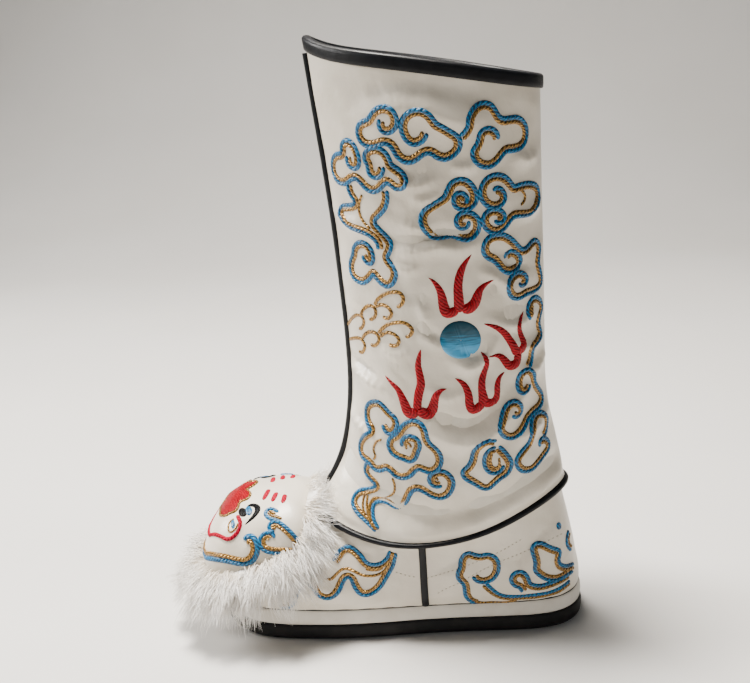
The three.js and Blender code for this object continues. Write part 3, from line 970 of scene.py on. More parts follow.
@dataclass
class Sole:
    """Black outsole, cloth-wrapped midsole, insole board and the sewn line at the feather edge."""

    outsole_thickness: float = 13
    insole_thickness: float = 4
    wall: float = 2.4
    around: int = 260
    # height share, how far in from the widest outline
    outsole_edge: tuple[Point2, ...] = (
        (0, 3.2), (0.05, 2.0), (0.13, 1.1), (0.25, 0.45), (0.4, 0.1), (0.7, 0.1), (0.9, 0.6), (0.97, 1.0),
        (1, 1.6),
    )
    midsole_edge: tuple[Point2, ...] = (
        (0, 2.2), (0.05, 1.7), (0.12, 1.2), (0.25, 0.9), (0.4, 0.7), (0.7, 0.9), (0.9, 1.6), (0.96, 2.0),
        (1, 2.6),
    )
    insole_edge: tuple[Point2, ...] = ((0, 0.4), (0.15, 0), (0.8, 0), (1, 0.6))
    width_shares: tuple[float, ...] = (1.0, 0.8, 1.0, 0.96)  # of the heel's width, then of the ball's
    blunt: float = 8
    fold: float = 0.5
    wrap_waver: float = 0.12
    stitch_radius: float = 0.55
    stitch_place: Point2 = (-0.15, -0.1)  # out of the upper's face and up from its lower rim

    def layer(self, bottom: float, top: float, edge: tuple[Point2, ...], uneven: float) -> Array:
        """Rings of one layer.

        Args:
            bottom: Height of its lower face.
            top: Height of its upper face.
            edge: Its rounded edge.
            uneven: How far its wrapped edge wavers.

        Returns:
            Rings of points.
        """
        turn = angles(self.around)
        widths = np.array([FORM.heel_width] + 3 * [FORM.ball_width]) * np.array(self.width_shares)
        rings = []
        for up, inset in edge:
            halves = np.broadcast_to(widths / 2 - inset, (self.around, 4))
            ends = (inset, FORM.sole_length - inset)
            _, station, side = FORM.outline(ends, halves, self.blunt, self.fold, turn)
            waver = uneven * (np.sin(9 * turn + 4 * up) * np.sin(4 * turn) + 0.5 * np.sin(23 * turn + 2))
            side = side + np.sign(np.sin(turn)) * waver
            rings.append(FORM.place(station, side, mix(bottom, top, up) + FORM.spring(station)))
        return np.array(rings)

    def build(self) -> None:
        """Builds and dresses the sole's pieces."""
        outsole = capped("outsole_rubber", self.layer(0, self.outsole_thickness, self.outsole_edge, 0))
        dress(outsole, RUBBER, Slot.RUBBER, "outsole")
        bottom = self.outsole_thickness + FORM.gap
        wrap = self.layer(bottom, FORM.sole_top, self.midsole_edge, self.wrap_waver)
        dress(capped("midsole_wrap", wrap), MIDSOLE_CLOTH, Slot.CLOTH, "midsole")
        self.build_insole()
        self.build_feather_line()

    def tree(self) -> BVHTree:
        """Search tree of the sole's outer edge."""
        low = self.layer(0, self.outsole_thickness, self.outsole_edge, 0)
        high = self.layer(self.outsole_thickness + FORM.gap, FORM.sole_top, self.midsole_edge, 0)
        return tree_of(np.concatenate([low, high]))

    def build_insole(self) -> None:
        """The lining board inside the foot."""
        inset = self.wall + 2 * FORM.gap
        section = FORM.columns()[0]
        bottom = FORM.sole_top + FORM.gap
        turn = angles(self.around)
        rings = []
        for up, extra in self.insole_edge:
            halves = np.broadcast_to(section[5:9] - inset - extra, (self.around, 4))
            ends = (section[0] + inset + extra, section[1] - inset - extra)
            _, station, side = FORM.outline(ends, halves, section[9], section[10], turn)
            height = bottom + up * self.insole_thickness
            rings.append(FORM.place(station, side, height + FORM.spring(station)))
        dress(capped("insole_board", np.array(rings)), LINING_CLOTH, Slot.LINING, "insole")

    def build_feather_line(self) -> None:
        """Dark sewn line where the upper meets the wrapped sole."""
        turn = angles(self.around)
        centre = FORM.skin(0, turn, self.stitch_place[0]) + UP * self.stitch_place[1]
        out = levelled(FORM.frame(np.full(self.around, 0.02), turn)[2])
        rows = swept(centre, out, np.broadcast_to(UP, out.shape), circle(self.stitch_radius, 8))
        dress(hoop("feather_line", rows), BINDING, Slot.PIPING)


# Satin

CREASE_STRENGTH = 2.4


@dataclass(frozen=True)
class Crease:
    """A soft trough or ridge in the satin, along points given as station and height."""

    path: tuple[Point2, ...]
    depth: float
    width: float

    def relief(self, station: Array, height: Array) -> Array:
        """How far it moves the surface out.

        Args:
            station: Stations along the boot.
            height: Heights.

        Returns:
            The relief.
        """
        line = resample(np.array(self.path, float), 4)
        share = np.linspace(0, 1, len(line))
        taper = np.sin(math.pi * np.clip(share, 0.03, 0.97)) ** 0.6
        gap = (station[..., None] - line[:, 0]) ** 2 + (height[..., None] - line[:, 1]) ** 2
        soft, keen = np.exp(-gap / self.width**2), np.exp(-1.5 * np.sqrt(gap) / self.width)
        return CREASE_STRENGTH * self.depth * (taper * (0.6 * soft + 0.4 * keen)).max(axis=-1)


# Creases of the shaft on the wearer's left, each with its depth and width: ridges stand out, troughs sink.
# The right side wears the same ones a little lower and shallower.
SHAFT_CREASES = (
    # swelling under the collar
    Crease(((136, 392), (118, 396), (100, 393), (84, 386), (62, 385)), 2.6, 13),
    Crease(((140, 404), (118, 412), (98, 409), (70, 402)), -0.9, 7),
    # between the upper clouds
    Crease(((126, 350), (111, 347), (96, 350)), 1.7, 5),
    Crease(((114, 339), (105, 337), (95, 341)), 1.5, 4.5),
    Crease(((122, 323), (111, 319), (102, 321)), 1.4, 4.5),
    Crease(((88, 358), (78, 356), (70, 359)), 1.3, 4),
    Crease(((46, 360), (38, 356), (31, 359)), 1.5, 5),
    # fold right across above the flames
    Crease(((128, 312), (112, 311), (97, 314), (83, 313), (66, 315)), -1.7, 4.5),
    Crease(((127, 302), (112, 304), (98, 306), (84, 304), (68, 307)), 1.6, 5.5),
    Crease(((129, 295), (120, 291), (112, 293)), 1.3, 4),
    # round the pearl
    Crease(((114, 269), (110, 262), (108, 254)), 1.2, 4),
    Crease(((115, 252), (106, 246), (97, 240)), -1.3, 3.6),
    Crease(((114, 247), (105, 241), (96, 235)), 1.1, 4),
    Crease(((71, 288), (60, 281), (48, 268)), 1.8, 5),
    Crease(((58, 300), (48, 290), (38, 284)), -1.2, 4.5),
    Crease(((64, 254), (49, 246), (33, 252)), 1.6, 5),
    Crease(((52, 236), (41, 228), (30, 231)), 1.4, 5),
    Crease(((92, 226), (80, 220), (69, 226), (60, 240)), 1.7, 4.5),
    Crease(((86, 233), (76, 229), (68, 234)), -1.2, 3.6),
    Crease(((141, 233), (130, 229), (120, 233)), 1.2, 4.5),
    # long swoop over the lower clouds
    Crease(((116, 179), (100, 168), (83, 164), (66, 170), (50, 187), (36, 205)), 2.4, 7),
    Crease(((112, 192), (97, 182), (82, 179), (67, 186), (54, 202)), -1.6, 5),
    Crease(((110, 206), (98, 199), (86, 201)), 1.2, 4.5),
    # drawn from the front seam
    Crease(((167, 214), (154, 207), (140, 202)), 1.8, 4.5),
    Crease(((168, 222), (156, 216), (146, 213)), -1.1, 4),
    Crease(((170, 176), (158, 167), (144, 162)), 2.0, 5.5),
    Crease(((166, 262), (156, 257), (148, 258)), 1.0, 4.5),
    Crease(((172, 330), (160, 322), (150, 322)), 1.1, 5),
    # drawn from the back seam
    Crease(((27, 330), (36, 322), (48, 320)), 1.3, 5),
    Crease(((27, 218), (36, 210), (46, 212)), 1.5, 5),
    Crease(((26, 176), (36, 166), (48, 162)), 1.7, 6),
)


# Creases of the foot, on both its sides.
FOOT_CREASES = (
    Crease(((150, 82), (146, 68), (150, 54)), -0.8, 4.5),
    Crease(((196, 74), (180, 62), (166, 58)), 0.9, 5),
    Crease(((186, 88), (172, 76), (160, 73)), -0.8, 5),
    Crease(((210, 52), (190, 44), (170, 42)), 0.8, 5),
    Crease(((112, 56), (96, 64), (78, 76)), -0.7, 5),
    Crease(((106, 78), (90, 84), (70, 96)), 0.8, 5),
    Crease(((52, 60), (40, 74), (28, 84)), -0.7, 5),
)


@dataclass(frozen=True)
class Swell:
    """Gentle unevenness of worn satin: two crossed waves, each bent by a longer one."""

    height: float
    along: tuple[float, float, float]  # length, bend and the bend's length
    up: tuple[float, float, float]

    def relief(self, station: Array, height: Array) -> Array:
        """How far it moves the surface out.

        Args:
            station: Stations along the boot.
            height: Heights.

        Returns:
            The relief.
        """
        level = np.sin(station / self.along[0] + self.along[1] * np.sin(height / self.along[2]))
        return self.height * level * np.sin(height / self.up[0] + self.up[1] * np.sin(station / self.up[2]))


@dataclass
class Upper:
    """Satin shaft with a turned hem, satin foot, and the cotton lining of both."""

    thickness: float = 1.1
    wall: float = 2.4
    lining_gap: float = 0.45
    around: int = 300
    lining_around: int = 160
    shaft_rows: int = 200
    hem_rows: int = 6
    hem_share: float = 0.05
    foot_rows: int = 60
    back_rows: int = 24
    lining_rows: int = 50
    swells: tuple[Swell, ...] = (
        Swell(0.7, (11, 1.6, 27), (14, 1.1, 25)),
        Swell(0.3, (4.7, 1.9, 9.5), (6.1, 1.5, 8.3)),
    )
    far_shift: Point2 = (3, 7)  # how far the creases lie back and down on the right side
    far_share: float = 0.8
    # depth, row above the hem, further up at the front, spread in rows
    tuck: tuple[float, float, float, float] = (-3.1, 1.2, 0.75, 0.42)
    roll: tuple[float, float, float, float] = (1.5, 0.5, 0, 0.4)
    seam_depth: float = 0.5
    seam_spread: float = 0.018
    foot_top: float = 0.6
    foot_tuck: float = 0.4
    foot_wave: float = 0.7
    pucker: float = 0.32
    pucker_length: float = 3.1
    pucker_height: float = 3
    pucker_spread: float = 5

    def creases(self, points: Array) -> Array:
        """Relief of the worn satin.

        Args:
            points: Points of the shaft.

        Returns:
            How far each is moved out.
        """
        station, height = FORM.sole_length / 2 - points[..., 1], points[..., 2]
        left = points[..., 0] > 0
        relief = sum(swell.relief(station, height) for swell in self.swells)
        for crease in SHAFT_CREASES:
            near = crease.relief(station, height)
            far = self.far_share * crease.relief(station + self.far_shift[0], height + self.far_shift[1])
            relief = relief + np.where(left, near, far)
        return relief

    def shaft_face(self) -> Array:
        """The shaft's outer face with its creases.

        Returns:
            Rows of points, from the hem.
        """
        low, top = FORM.hem_row, FORM.collar_row
        first = low + self.hem_share * np.linspace(0, 1, self.hem_rows)[:-1] ** 2
        rows = np.concatenate([first, np.linspace(low + self.hem_share, top, self.shaft_rows)])
        row, angle = np.meshgrid(rows, angles(self.around), indexing="ij")
        plain = FORM.skin(row, angle, FORM.flare(row))
        calm = smooth_step(0.03, 0.3, np.abs(np.sin(angle)))
        calm = calm * smooth_step(top, top - 0.7, row) * smooth_step(low - 0.1, low + 0.5, row)
        forward = ((1 - np.cos(angle)) / 2) ** 4
        relief = self.creases(plain)
        for depth, above, further, spread in (self.tuck, self.roll):
            relief = relief + depth * bell(row - low - above - further * forward, spread)
        seam = -self.seam_depth * bell(np.sin(angle / 2), self.seam_spread)
        seam = seam * smooth_step(low, low + 0.2, row)
        return plain + FORM.frame(row, angle)[2] * (calm * relief + seam)[..., None]

    def foot_face(self) -> Array:
        """The foot's outer face, from the feather line to above the hem.

        Returns:
            Rows of points.
        """
        low = FORM.hem_row
        rows = np.linspace(0, low + self.foot_top, self.foot_rows)
        row, angle = np.meshgrid(rows, angles(self.around), indexing="ij")
        plain = FORM.skin(row, angle, -self.foot_tuck * smooth_step(low - 0.3, low + 0.3, row))
        station, height = FORM.sole_length / 2 - plain[..., 1], plain[..., 2]
        puckers = self.pucker * np.sin(station / self.pucker_length + 2 * np.sin(station / 23))
        puckers = puckers * bell(height - FORM.sole_top - self.pucker_height, self.pucker_spread)
        bent = np.sin(station / 13 + 0.7 + 0.9 * np.sin(height / 17))
        waves = self.foot_wave * bent * np.sin(height / 10 + station / 33)
        for crease in FOOT_CREASES:
            waves = waves + crease.relief(station, height)
        calm = smooth_step(0, 0.5, row) * smooth_step(low, low - 0.6, row)
        out = FORM.frame(row, angle)[2]
        return plain + out * (calm * waves + puckers * smooth_step(0, 0.1, row))[..., None]

    def shell(self, name: str, face: Array, depth: float) -> bpy.types.Object:
        """Sheet of even thickness behind a face, with both its edges closed.

        Args:
            name: Name of the piece.
            face: Rows of points of its outer face.
            depth: Its thickness.

        Returns:
            The piece.
        """
        around = np.roll(face, -1, axis=1) - np.roll(face, 1, axis=1)
        up = np.gradient(face, axis=0)
        out = unit(np.cross(up, around))
        kept = np.unique(np.linspace(0, len(face) - 1, self.back_rows).astype(int))
        back = (face - out * depth)[kept][::-1]
        return hoop(name, np.concatenate([face, back]))

    def build(self) -> None:
        """Builds and dresses the upper's pieces."""
        shaft = self.shell("shaft_satin", self.shaft_face(), self.thickness)
        dress(shaft, SATIN, Slot.SATIN, "upper")
        foot = self.shell("foot_satin", self.foot_face(), self.thickness)
        dress(foot, SATIN, Slot.SATIN)
        rows = np.linspace(0, FORM.collar_row, self.lining_rows)
        row, angle = np.meshgrid(rows, angles(self.lining_around), indexing="ij")
        outer = FORM.skin(row, angle, -self.thickness - self.lining_gap)
        lining = np.concatenate([outer, FORM.skin(row, angle, -self.wall)[::-1]])
        dress(hoop("cotton_lining", lining), LINING_CLOTH, Slot.LINING)


# Black trims

@dataclass
class Trims:
    """Collar binding, front piping, hem cord and the bound seam on each side."""

    binding_drop: float = 7
    binding_thickness: float = 1.7
    piping_width: float = 5.2
    piping_proud: float = 3.4
    piping_ends: Point2 = (0.05, 0.27)  # rows left free at the hem and at the collar
    cord_radius: float = 3.0
    strip_station: float = 121
    strip_width: float = 5.6
    strip_proud: float = 1.3
    strip_ends: Point2 = (0.04, 0.45)  # rows left free at the feather line and at the hem
    wall: float = 2.4
    sunk: float = 0.9

    def bead(self, width: float, proud: float) -> Array:
        """Half-round section that stands on the wall.

        Args:
            width: Its width.
            proud: How far it stands out.

        Returns:
            The section's points.
        """
        turn = np.linspace(0, math.pi, 13)
        rounded = [(width / 2 * math.cos(a), proud * math.sin(a)) for a in turn]
        return np.array([(width / 2, -self.sunk), *rounded, (-width / 2, -self.sunk)])

    def collar_binding(self) -> None:
        """Binding folded over the collar."""
        turn = angles(300)
        inner, thick, gap = -self.wall - FORM.gap, self.binding_thickness, FORM.gap
        channel = np.array([
            (gap, -self.binding_drop),
            (gap + 0.55 * thick, -self.binding_drop - 0.25),
            (gap + 0.85 * thick, -self.binding_drop + 0.5),
            (gap + 0.95 * thick, -0.6 * self.binding_drop),
            (gap + thick, -0.2 * self.binding_drop),
            (gap + 0.95 * thick, 0.35 * thick),
            (gap + 0.65 * thick, 0.8 * thick),
            (gap + 0.1 * thick, gap + 1.05 * thick),
            (-self.wall / 2, gap + 1.2 * thick),
            (inner - 0.1 * thick, gap + 1.05 * thick),
            (inner - 0.65 * thick, 0.8 * thick),
            (inner - 0.95 * thick, 0.35 * thick),
            (inner - thick, -0.2 * self.binding_drop),
            (inner - 0.85 * thick, -self.binding_drop + 0.5),
            (inner - 0.55 * thick, -self.binding_drop - 0.25),
            (inner, -self.binding_drop),
            (inner, gap),
            (gap, gap),
        ])
        up, _, out = FORM.frame(FORM.collar_row, turn)
        rows = swept(FORM.face(FORM.collar_row, turn), levelled(out), up, channel)
        dress(hoop("collar_binding_cloth", rows), BINDING, Slot.PIPING, "collar_binding")

    def front_piping(self) -> None:
        """Raised piping down the front seam of the shaft."""
        rows = np.linspace(FORM.hem_row + self.piping_ends[0], FORM.collar_row - self.piping_ends[1], 150)
        turn = np.full(rows.shape, math.pi)
        _, around, out = FORM.frame(rows, turn)
        origin = FORM.skin(rows, turn, FORM.flare(rows))
        sections = swept(origin, around, out, self.bead(self.piping_width, self.piping_proud))
        dress(capped("front_piping_cloth", sections), BINDING, Slot.PIPING, "front_piping")

    def hem_cord(self) -> None:
        """Cord under the shaft's lower edge."""
        turn = angles(420)
        reach = self.cord_radius + FORM.gap
        up, _, out = FORM.frame(FORM.hem_row, turn)
        middle = FORM.face(FORM.hem_row, turn) + out * reach - up * reach
        rows = swept(middle, out, up, circle(self.cord_radius, 14))
        dress(hoop("hem_cord_cloth", rows), BINDING, Slot.PIPING, "hem_cord")

    def side_strip(self, side: Side) -> None:
        """Bound seam between vamp and quarter.

        Args:
            side: The boot's side.
        """
        rows = np.linspace(self.strip_ends[0], FORM.hem_row - self.strip_ends[1], 60)
        turn = FORM.angle_at(rows, self.strip_station) * side.value
        _, around, out = FORM.frame(rows, turn)
        sections = swept(FORM.face(rows, turn), around, out, self.bead(self.strip_width, self.strip_proud))
        name = "side_strip_" + side.name.lower()
        dress(capped(name + "_cloth", sections), BINDING, Slot.PIPING, name)

    def build(self) -> None:
        """Builds and dresses every trim."""
        self.collar_binding()
        self.front_piping()
        self.hem_cord()
        for side in Side:
            self.side_strip(side)


# Tiger head and fur

@dataclass
class TigerHead:
    """Stuffed satin dome over the toe."""

    back: float = 208
    length: float = 90
    width: float = 98
    crown_height: float = 110
    edge_height: float = 54
    # at, crown, edge, half
    rows: tuple[tuple[float, ...], ...] = (
        (0.0, 0.82, 0.42, 0.7),
        (0.08, 0.95, 0.4, 0.86),
        (0.25, 1.0, 0.32, 0.97),
        (0.45, 0.98, 0.24, 1.0),
        (0.62, 0.92, 0.17, 0.98),
        (0.78, 0.78, 0.1, 0.91),
        (0.9, 0.57, 0.05, 0.75),
        (0.97, 0.36, 0.02, 0.54),
        (1.0, 0.19, 0.01, 0.33),
    )

    blunt: float = 2 / 2.4
    puff: float = 0.012
    floor_drop: float = 1.5
    fill: float = 0.8

    def face(self) -> Array:
        """The dome's rounded cross-sections.

        Returns:
            Rows of points, from the brow to the muzzle.
        """
        tall = self.crown_height - self.edge_height
        t = np.linspace(0, len(self.rows) - 1, 90)[:, None]
        at, crown, edge, half = np.moveaxis(through(np.array(self.rows), t), -1, 0)
        turn = np.linspace(0, math.pi, 121)[None, :]
        low, high = self.edge_height + edge * tall, self.edge_height + crown * tall
        folds = np.sin(8 * turn + 1.7 * np.sin(1.9 * t)) * np.sin(1.6 * t + 2 * np.cos(turn))
        puff = 1 + self.puff * folds
        side = half * self.width / 2 * blunted(np.cos(turn), self.blunt) * puff
        rise = blunted(np.sin(turn), self.blunt) * puff
        return FORM.place(self.back + at * self.length, side, mix(low, high, rise))

    def build(self) -> None:
        """Builds and dresses the stuffed head."""
        face = self.face()
        floor = face.copy()[:, ::-1]
        floor[..., 2] = np.minimum(face[:, :1, 2] - self.floor_drop, floor[..., 2])
        rows = np.concatenate([face, floor[:, 1:-1]], axis=1)
        piece = capped("tiger_head_satin", rows)
        dress(piece, SATIN, Slot.SATIN, "tiger_head")


@dataclass
class FurTrim:
    """Long ivory fur round the head: a soft roll and locks of single hairs."""

    head: TigerHead
    band_radius: float = 10
    band_clear: float = 4
    blunt: float = 0.8
    roll_share: float = 0.62
    root_share: float = 0.6
    tuft: float = 0.8
    lock_length: float = 27
    locks: int = 580
    hairs_per_lock: int = 20
    segments: int = 5
    hair_radius: float = 0.3
    tip_share: float = 0.15
    search: float = 14
    floor_gap: float = 0.8
    front_share: float = 0.72
    seed: int = 7
    # degrees round the roll, from straight out
    lock_spins: Point2 = (-75, 165)
    upper_spins: Point2 = (-30, 60)
    # values of the lower locks and of the upper ones
    out_by_height: Point2 = (0.8, 1.3)
    droop_by_height: Point2 = (1.0, 0.15)
    length_by_height: Point2 = (1.12, 0.95)
    # spreads and ranges of the draws
    sideways: float = 0.28
    astray: float = 0.16
    lock_lengths: Point2 = (0.78, 1.12)
    root_scatter: float = 1.9
    splay: float = 2.6
    splays: Point2 = (0.4, 1.5)
    hair_lengths: Point2 = (0.7, 1.08)
    clearances: Point2 = (0.5, 4.5)
    gather: float = 0.4
    swing: float = 1.3
    sag: float = 0.16
    # height, out, droop, length, from the muzzle to the nape
    rows: tuple[tuple[float, ...], ...] = (
        (0.4, 0.8, 0.22, 0.8),
        (0.44, 0.62, 0.42, 0.86),
        (0.54, 0.5, 0.8, 0.96),
        (0.72, 0.75, 0.8, 0.95),
        (0.98, 0.2, -1.0, 0.62),
    )

    def path(self, turn: Array) -> tuple[Array, Array, Array]:
        """Middle line of the trim.

        Args:
            turn: From 0 at the muzzle to a half turn at the nape, either way round.

        Returns:
            Its points, the level directions away from the head, and the locks' traits there: how far
            they stand out and droop, and their length.
        """
        read = through(np.array(self.rows), np.abs(turn) / math.pi * (len(self.rows) - 1))
        half = self.head.length / 2
        station = self.head.back + half + (half + self.band_clear) * blunted(np.cos(turn), self.blunt)
        side = self.head.width / 2 * blunted(np.sin(turn), self.blunt)
        centre = FORM.place(station, side, read[..., 0] * self.head.crown_height)
        outward = np.stack([np.sin(turn), -np.cos(turn), np.zeros_like(turn)], axis=-1)
        return centre, outward, read[..., 1:]

    def backing(self) -> None:
        """The soft roll under the hairs."""
        turn, spin = np.meshgrid(angles(160), angles(26), indexing="ij")
        turn = turn - math.pi
        centre, outward, _ = self.path(turn)
        tufts = self.tuft * np.sin(17 * turn + 3 * np.sin(2 * spin)) * np.sin(5 * spin + 9 * turn)
        radius = (self.roll_share * self.band_radius + tufts)[..., None]
        rows = centre + radius * (outward * np.cos(spin)[..., None] + UP * np.sin(spin)[..., None])
        dress(hoop("fur_roll", rows), FUR, Slot.FUR, "fur_trim")

    def lock_lines(self, draw: np.random.Generator) -> tuple[Array, Array, Array]:
        """Draws the locks.

        Args:
            draw: Source of the random numbers.

        Returns:
            Root, direction and length of every lock.
        """
        turn = draw.uniform(-math.pi, math.pi, self.locks)
        spin = draw.uniform(*np.radians(self.lock_spins), self.locks)
        centre, outward, traits = self.path(turn)
        upper = smooth_step(*np.radians(self.upper_spins), spin)[:, None]
        away = outward * np.cos(spin)[:, None] + UP * np.sin(spin)[:, None]
        root = centre + self.root_share * self.band_radius * away
        out, droop, length = (traits[:, k : k + 1] for k in range(3))
        out, droop = out * mix(*self.out_by_height, upper), droop * mix(*self.droop_by_height, upper)
        direction = unit(outward * out - UP * droop)
        direction = direction + np.cross(UP, outward) * draw.normal(0, self.sideways, (self.locks, 1))
        direction = direction + draw.normal(0, self.astray, (self.locks, 3))
        reach = length * self.lock_length * mix(*self.length_by_height, upper)
        return root, unit(direction), reach * draw.uniform(*self.lock_lengths, (self.locks, 1))

    def hairs(self, draw: np.random.Generator) -> Array:
        """Draws the hairs, gathered into locks.

        Args:
            draw: Source of the random numbers.

        Returns:
            Points along every hair.
        """
        locks = self.lock_lines(draw)
        root, direction, reach = (np.repeat(value, self.hairs_per_lock, axis=0) for value in locks)
        count = len(root)
        u = np.linspace(0, 1, self.segments + 1)[None, :, None]
        start = root + draw.normal(0, self.root_scatter, (count, 3))
        spread = draw.normal(0, self.splay, (count, 3)) * draw.uniform(*self.splays, (count, 1))
        reach = reach * draw.uniform(*self.hair_lengths, (count, 1))
        swing = unit(np.cross(direction, draw.normal(0, 1, (count, 3))))
        drift = spread - (start - root) * self.gather
        line = start[:, None] + (direction * reach)[:, None] * u + drift[:, None] * u**1.5
        phase = draw.uniform(0, 6, (count, 1, 1))
        line += swing[:, None] * self.swing * np.sin(self.swing * math.pi * u + phase)
        line[..., 2] -= self.sag * reach * u[..., 0] ** 2
        return line

    def clear(self, lines: Array, trees: list[BVHTree], draw: np.random.Generator) -> Array:
        """Moves points that lie in the boot to outside it, each hair's tip by its own distance.

        Args:
            lines: Points along every hair.
            trees: Surfaces of the boot.
            draw: Source of the random numbers.

        Returns:
            The moved points.
        """
        count, rings, _ = lines.shape
        root, tip = self.clearances
        away = root + draw.uniform(0, tip, (count, 1)) * np.linspace(0, 1, rings)[None, :] ** 1.2
        flat, away = lines.reshape(-1, 3), away.ravel()
        for i, point in enumerate(flat):
            for tree in trees:
                place, normal, _, _ = tree.find_nearest(Vector(point), self.search)
                if place is not None and (Vector(point) - place).dot(normal) < away[i] - 0.1:
                    flat[i] = np.array(place + normal * away[i])
        flat[:, 2] = np.maximum(flat[:, 2], self.floor_gap)
        return flat.reshape(lines.shape)

    def strand_mesh(self, name: str, lines: Array) -> bpy.types.Object:
        """Three-sided tapered strands along lines of points.

        Args:
            name: Name of the piece.
            lines: The lines.

        Returns:
            The piece.
        """
        count, rings, _ = lines.shape
        ahead = unit(np.gradient(lines, axis=1))
        side = unit(np.cross(ahead, np.array([0.3, 0.5, 0.81])))
        other = np.cross(ahead, side)
        taper = self.hair_radius * (1 - (1 - self.tip_share) * np.linspace(0, 1, rings) ** 1.6)
        spin = angles(3)
        ring = np.cos(spin)[:, None] * side[:, :, None] + np.sin(spin)[:, None] * other[:, :, None]
        points = lines[:, :, None] + ring * taper[None, :, None, None]
        one = grid_faces(rings, 3, False, True)
        faces = (one[None] + (np.arange(count) * rings * 3)[:, None, None]).reshape(-1, 4)
        uv = np.zeros((count, rings, 3, 2))
        uv[..., 1] = np.linspace(0, 1, rings)[None, :, None]
        return mesh_object(name, points.reshape(-1, 3), faces, uv.reshape(-1, 2), sharp=180)

    def build(self, trees: list[BVHTree]) -> None:
        """Builds and dresses the fur.

        Args:
            trees: Surfaces that no hair goes through.
        """
        self.backing()
        draw = np.random.default_rng(self.seed)
        lines = self.clear(self.hairs(draw), trees, draw)
        middle = lines[:, 0, 0]
        station = FORM.sole_length / 2 - lines[:, 0, 1]
        front = station > self.head.back + self.front_share * self.head.length
        groups = {"front": front, "left": ~front & (middle > 0), "right": ~front & (middle <= 0)}
        for name, chosen in groups.items():
            dress(self.strand_mesh("fur_hairs_" + name, lines[chosen]), FUR, Slot.FUR)


# Embroidery, charted on the photograph: places are pixels of it, named by motif

class BlueOn(Enum):
    """Which side of a cloud's seam the blue cord lies on, as one goes along it, the gold on the other."""

    LEFT = -1
    RIGHT = 1


@dataclass(frozen=True)
class Cloud:
    """A scrolled cloud line: a gold cord and a blue cord laid side by side along one seam."""

    blue: BlueOn
    seam: tuple[Point2, ...]


@dataclass(frozen=True)
class Stroke:
    """A padded satin-stitch stroke, with its width in pixels at each point."""

    line: tuple[tuple[float, float, float], ...]


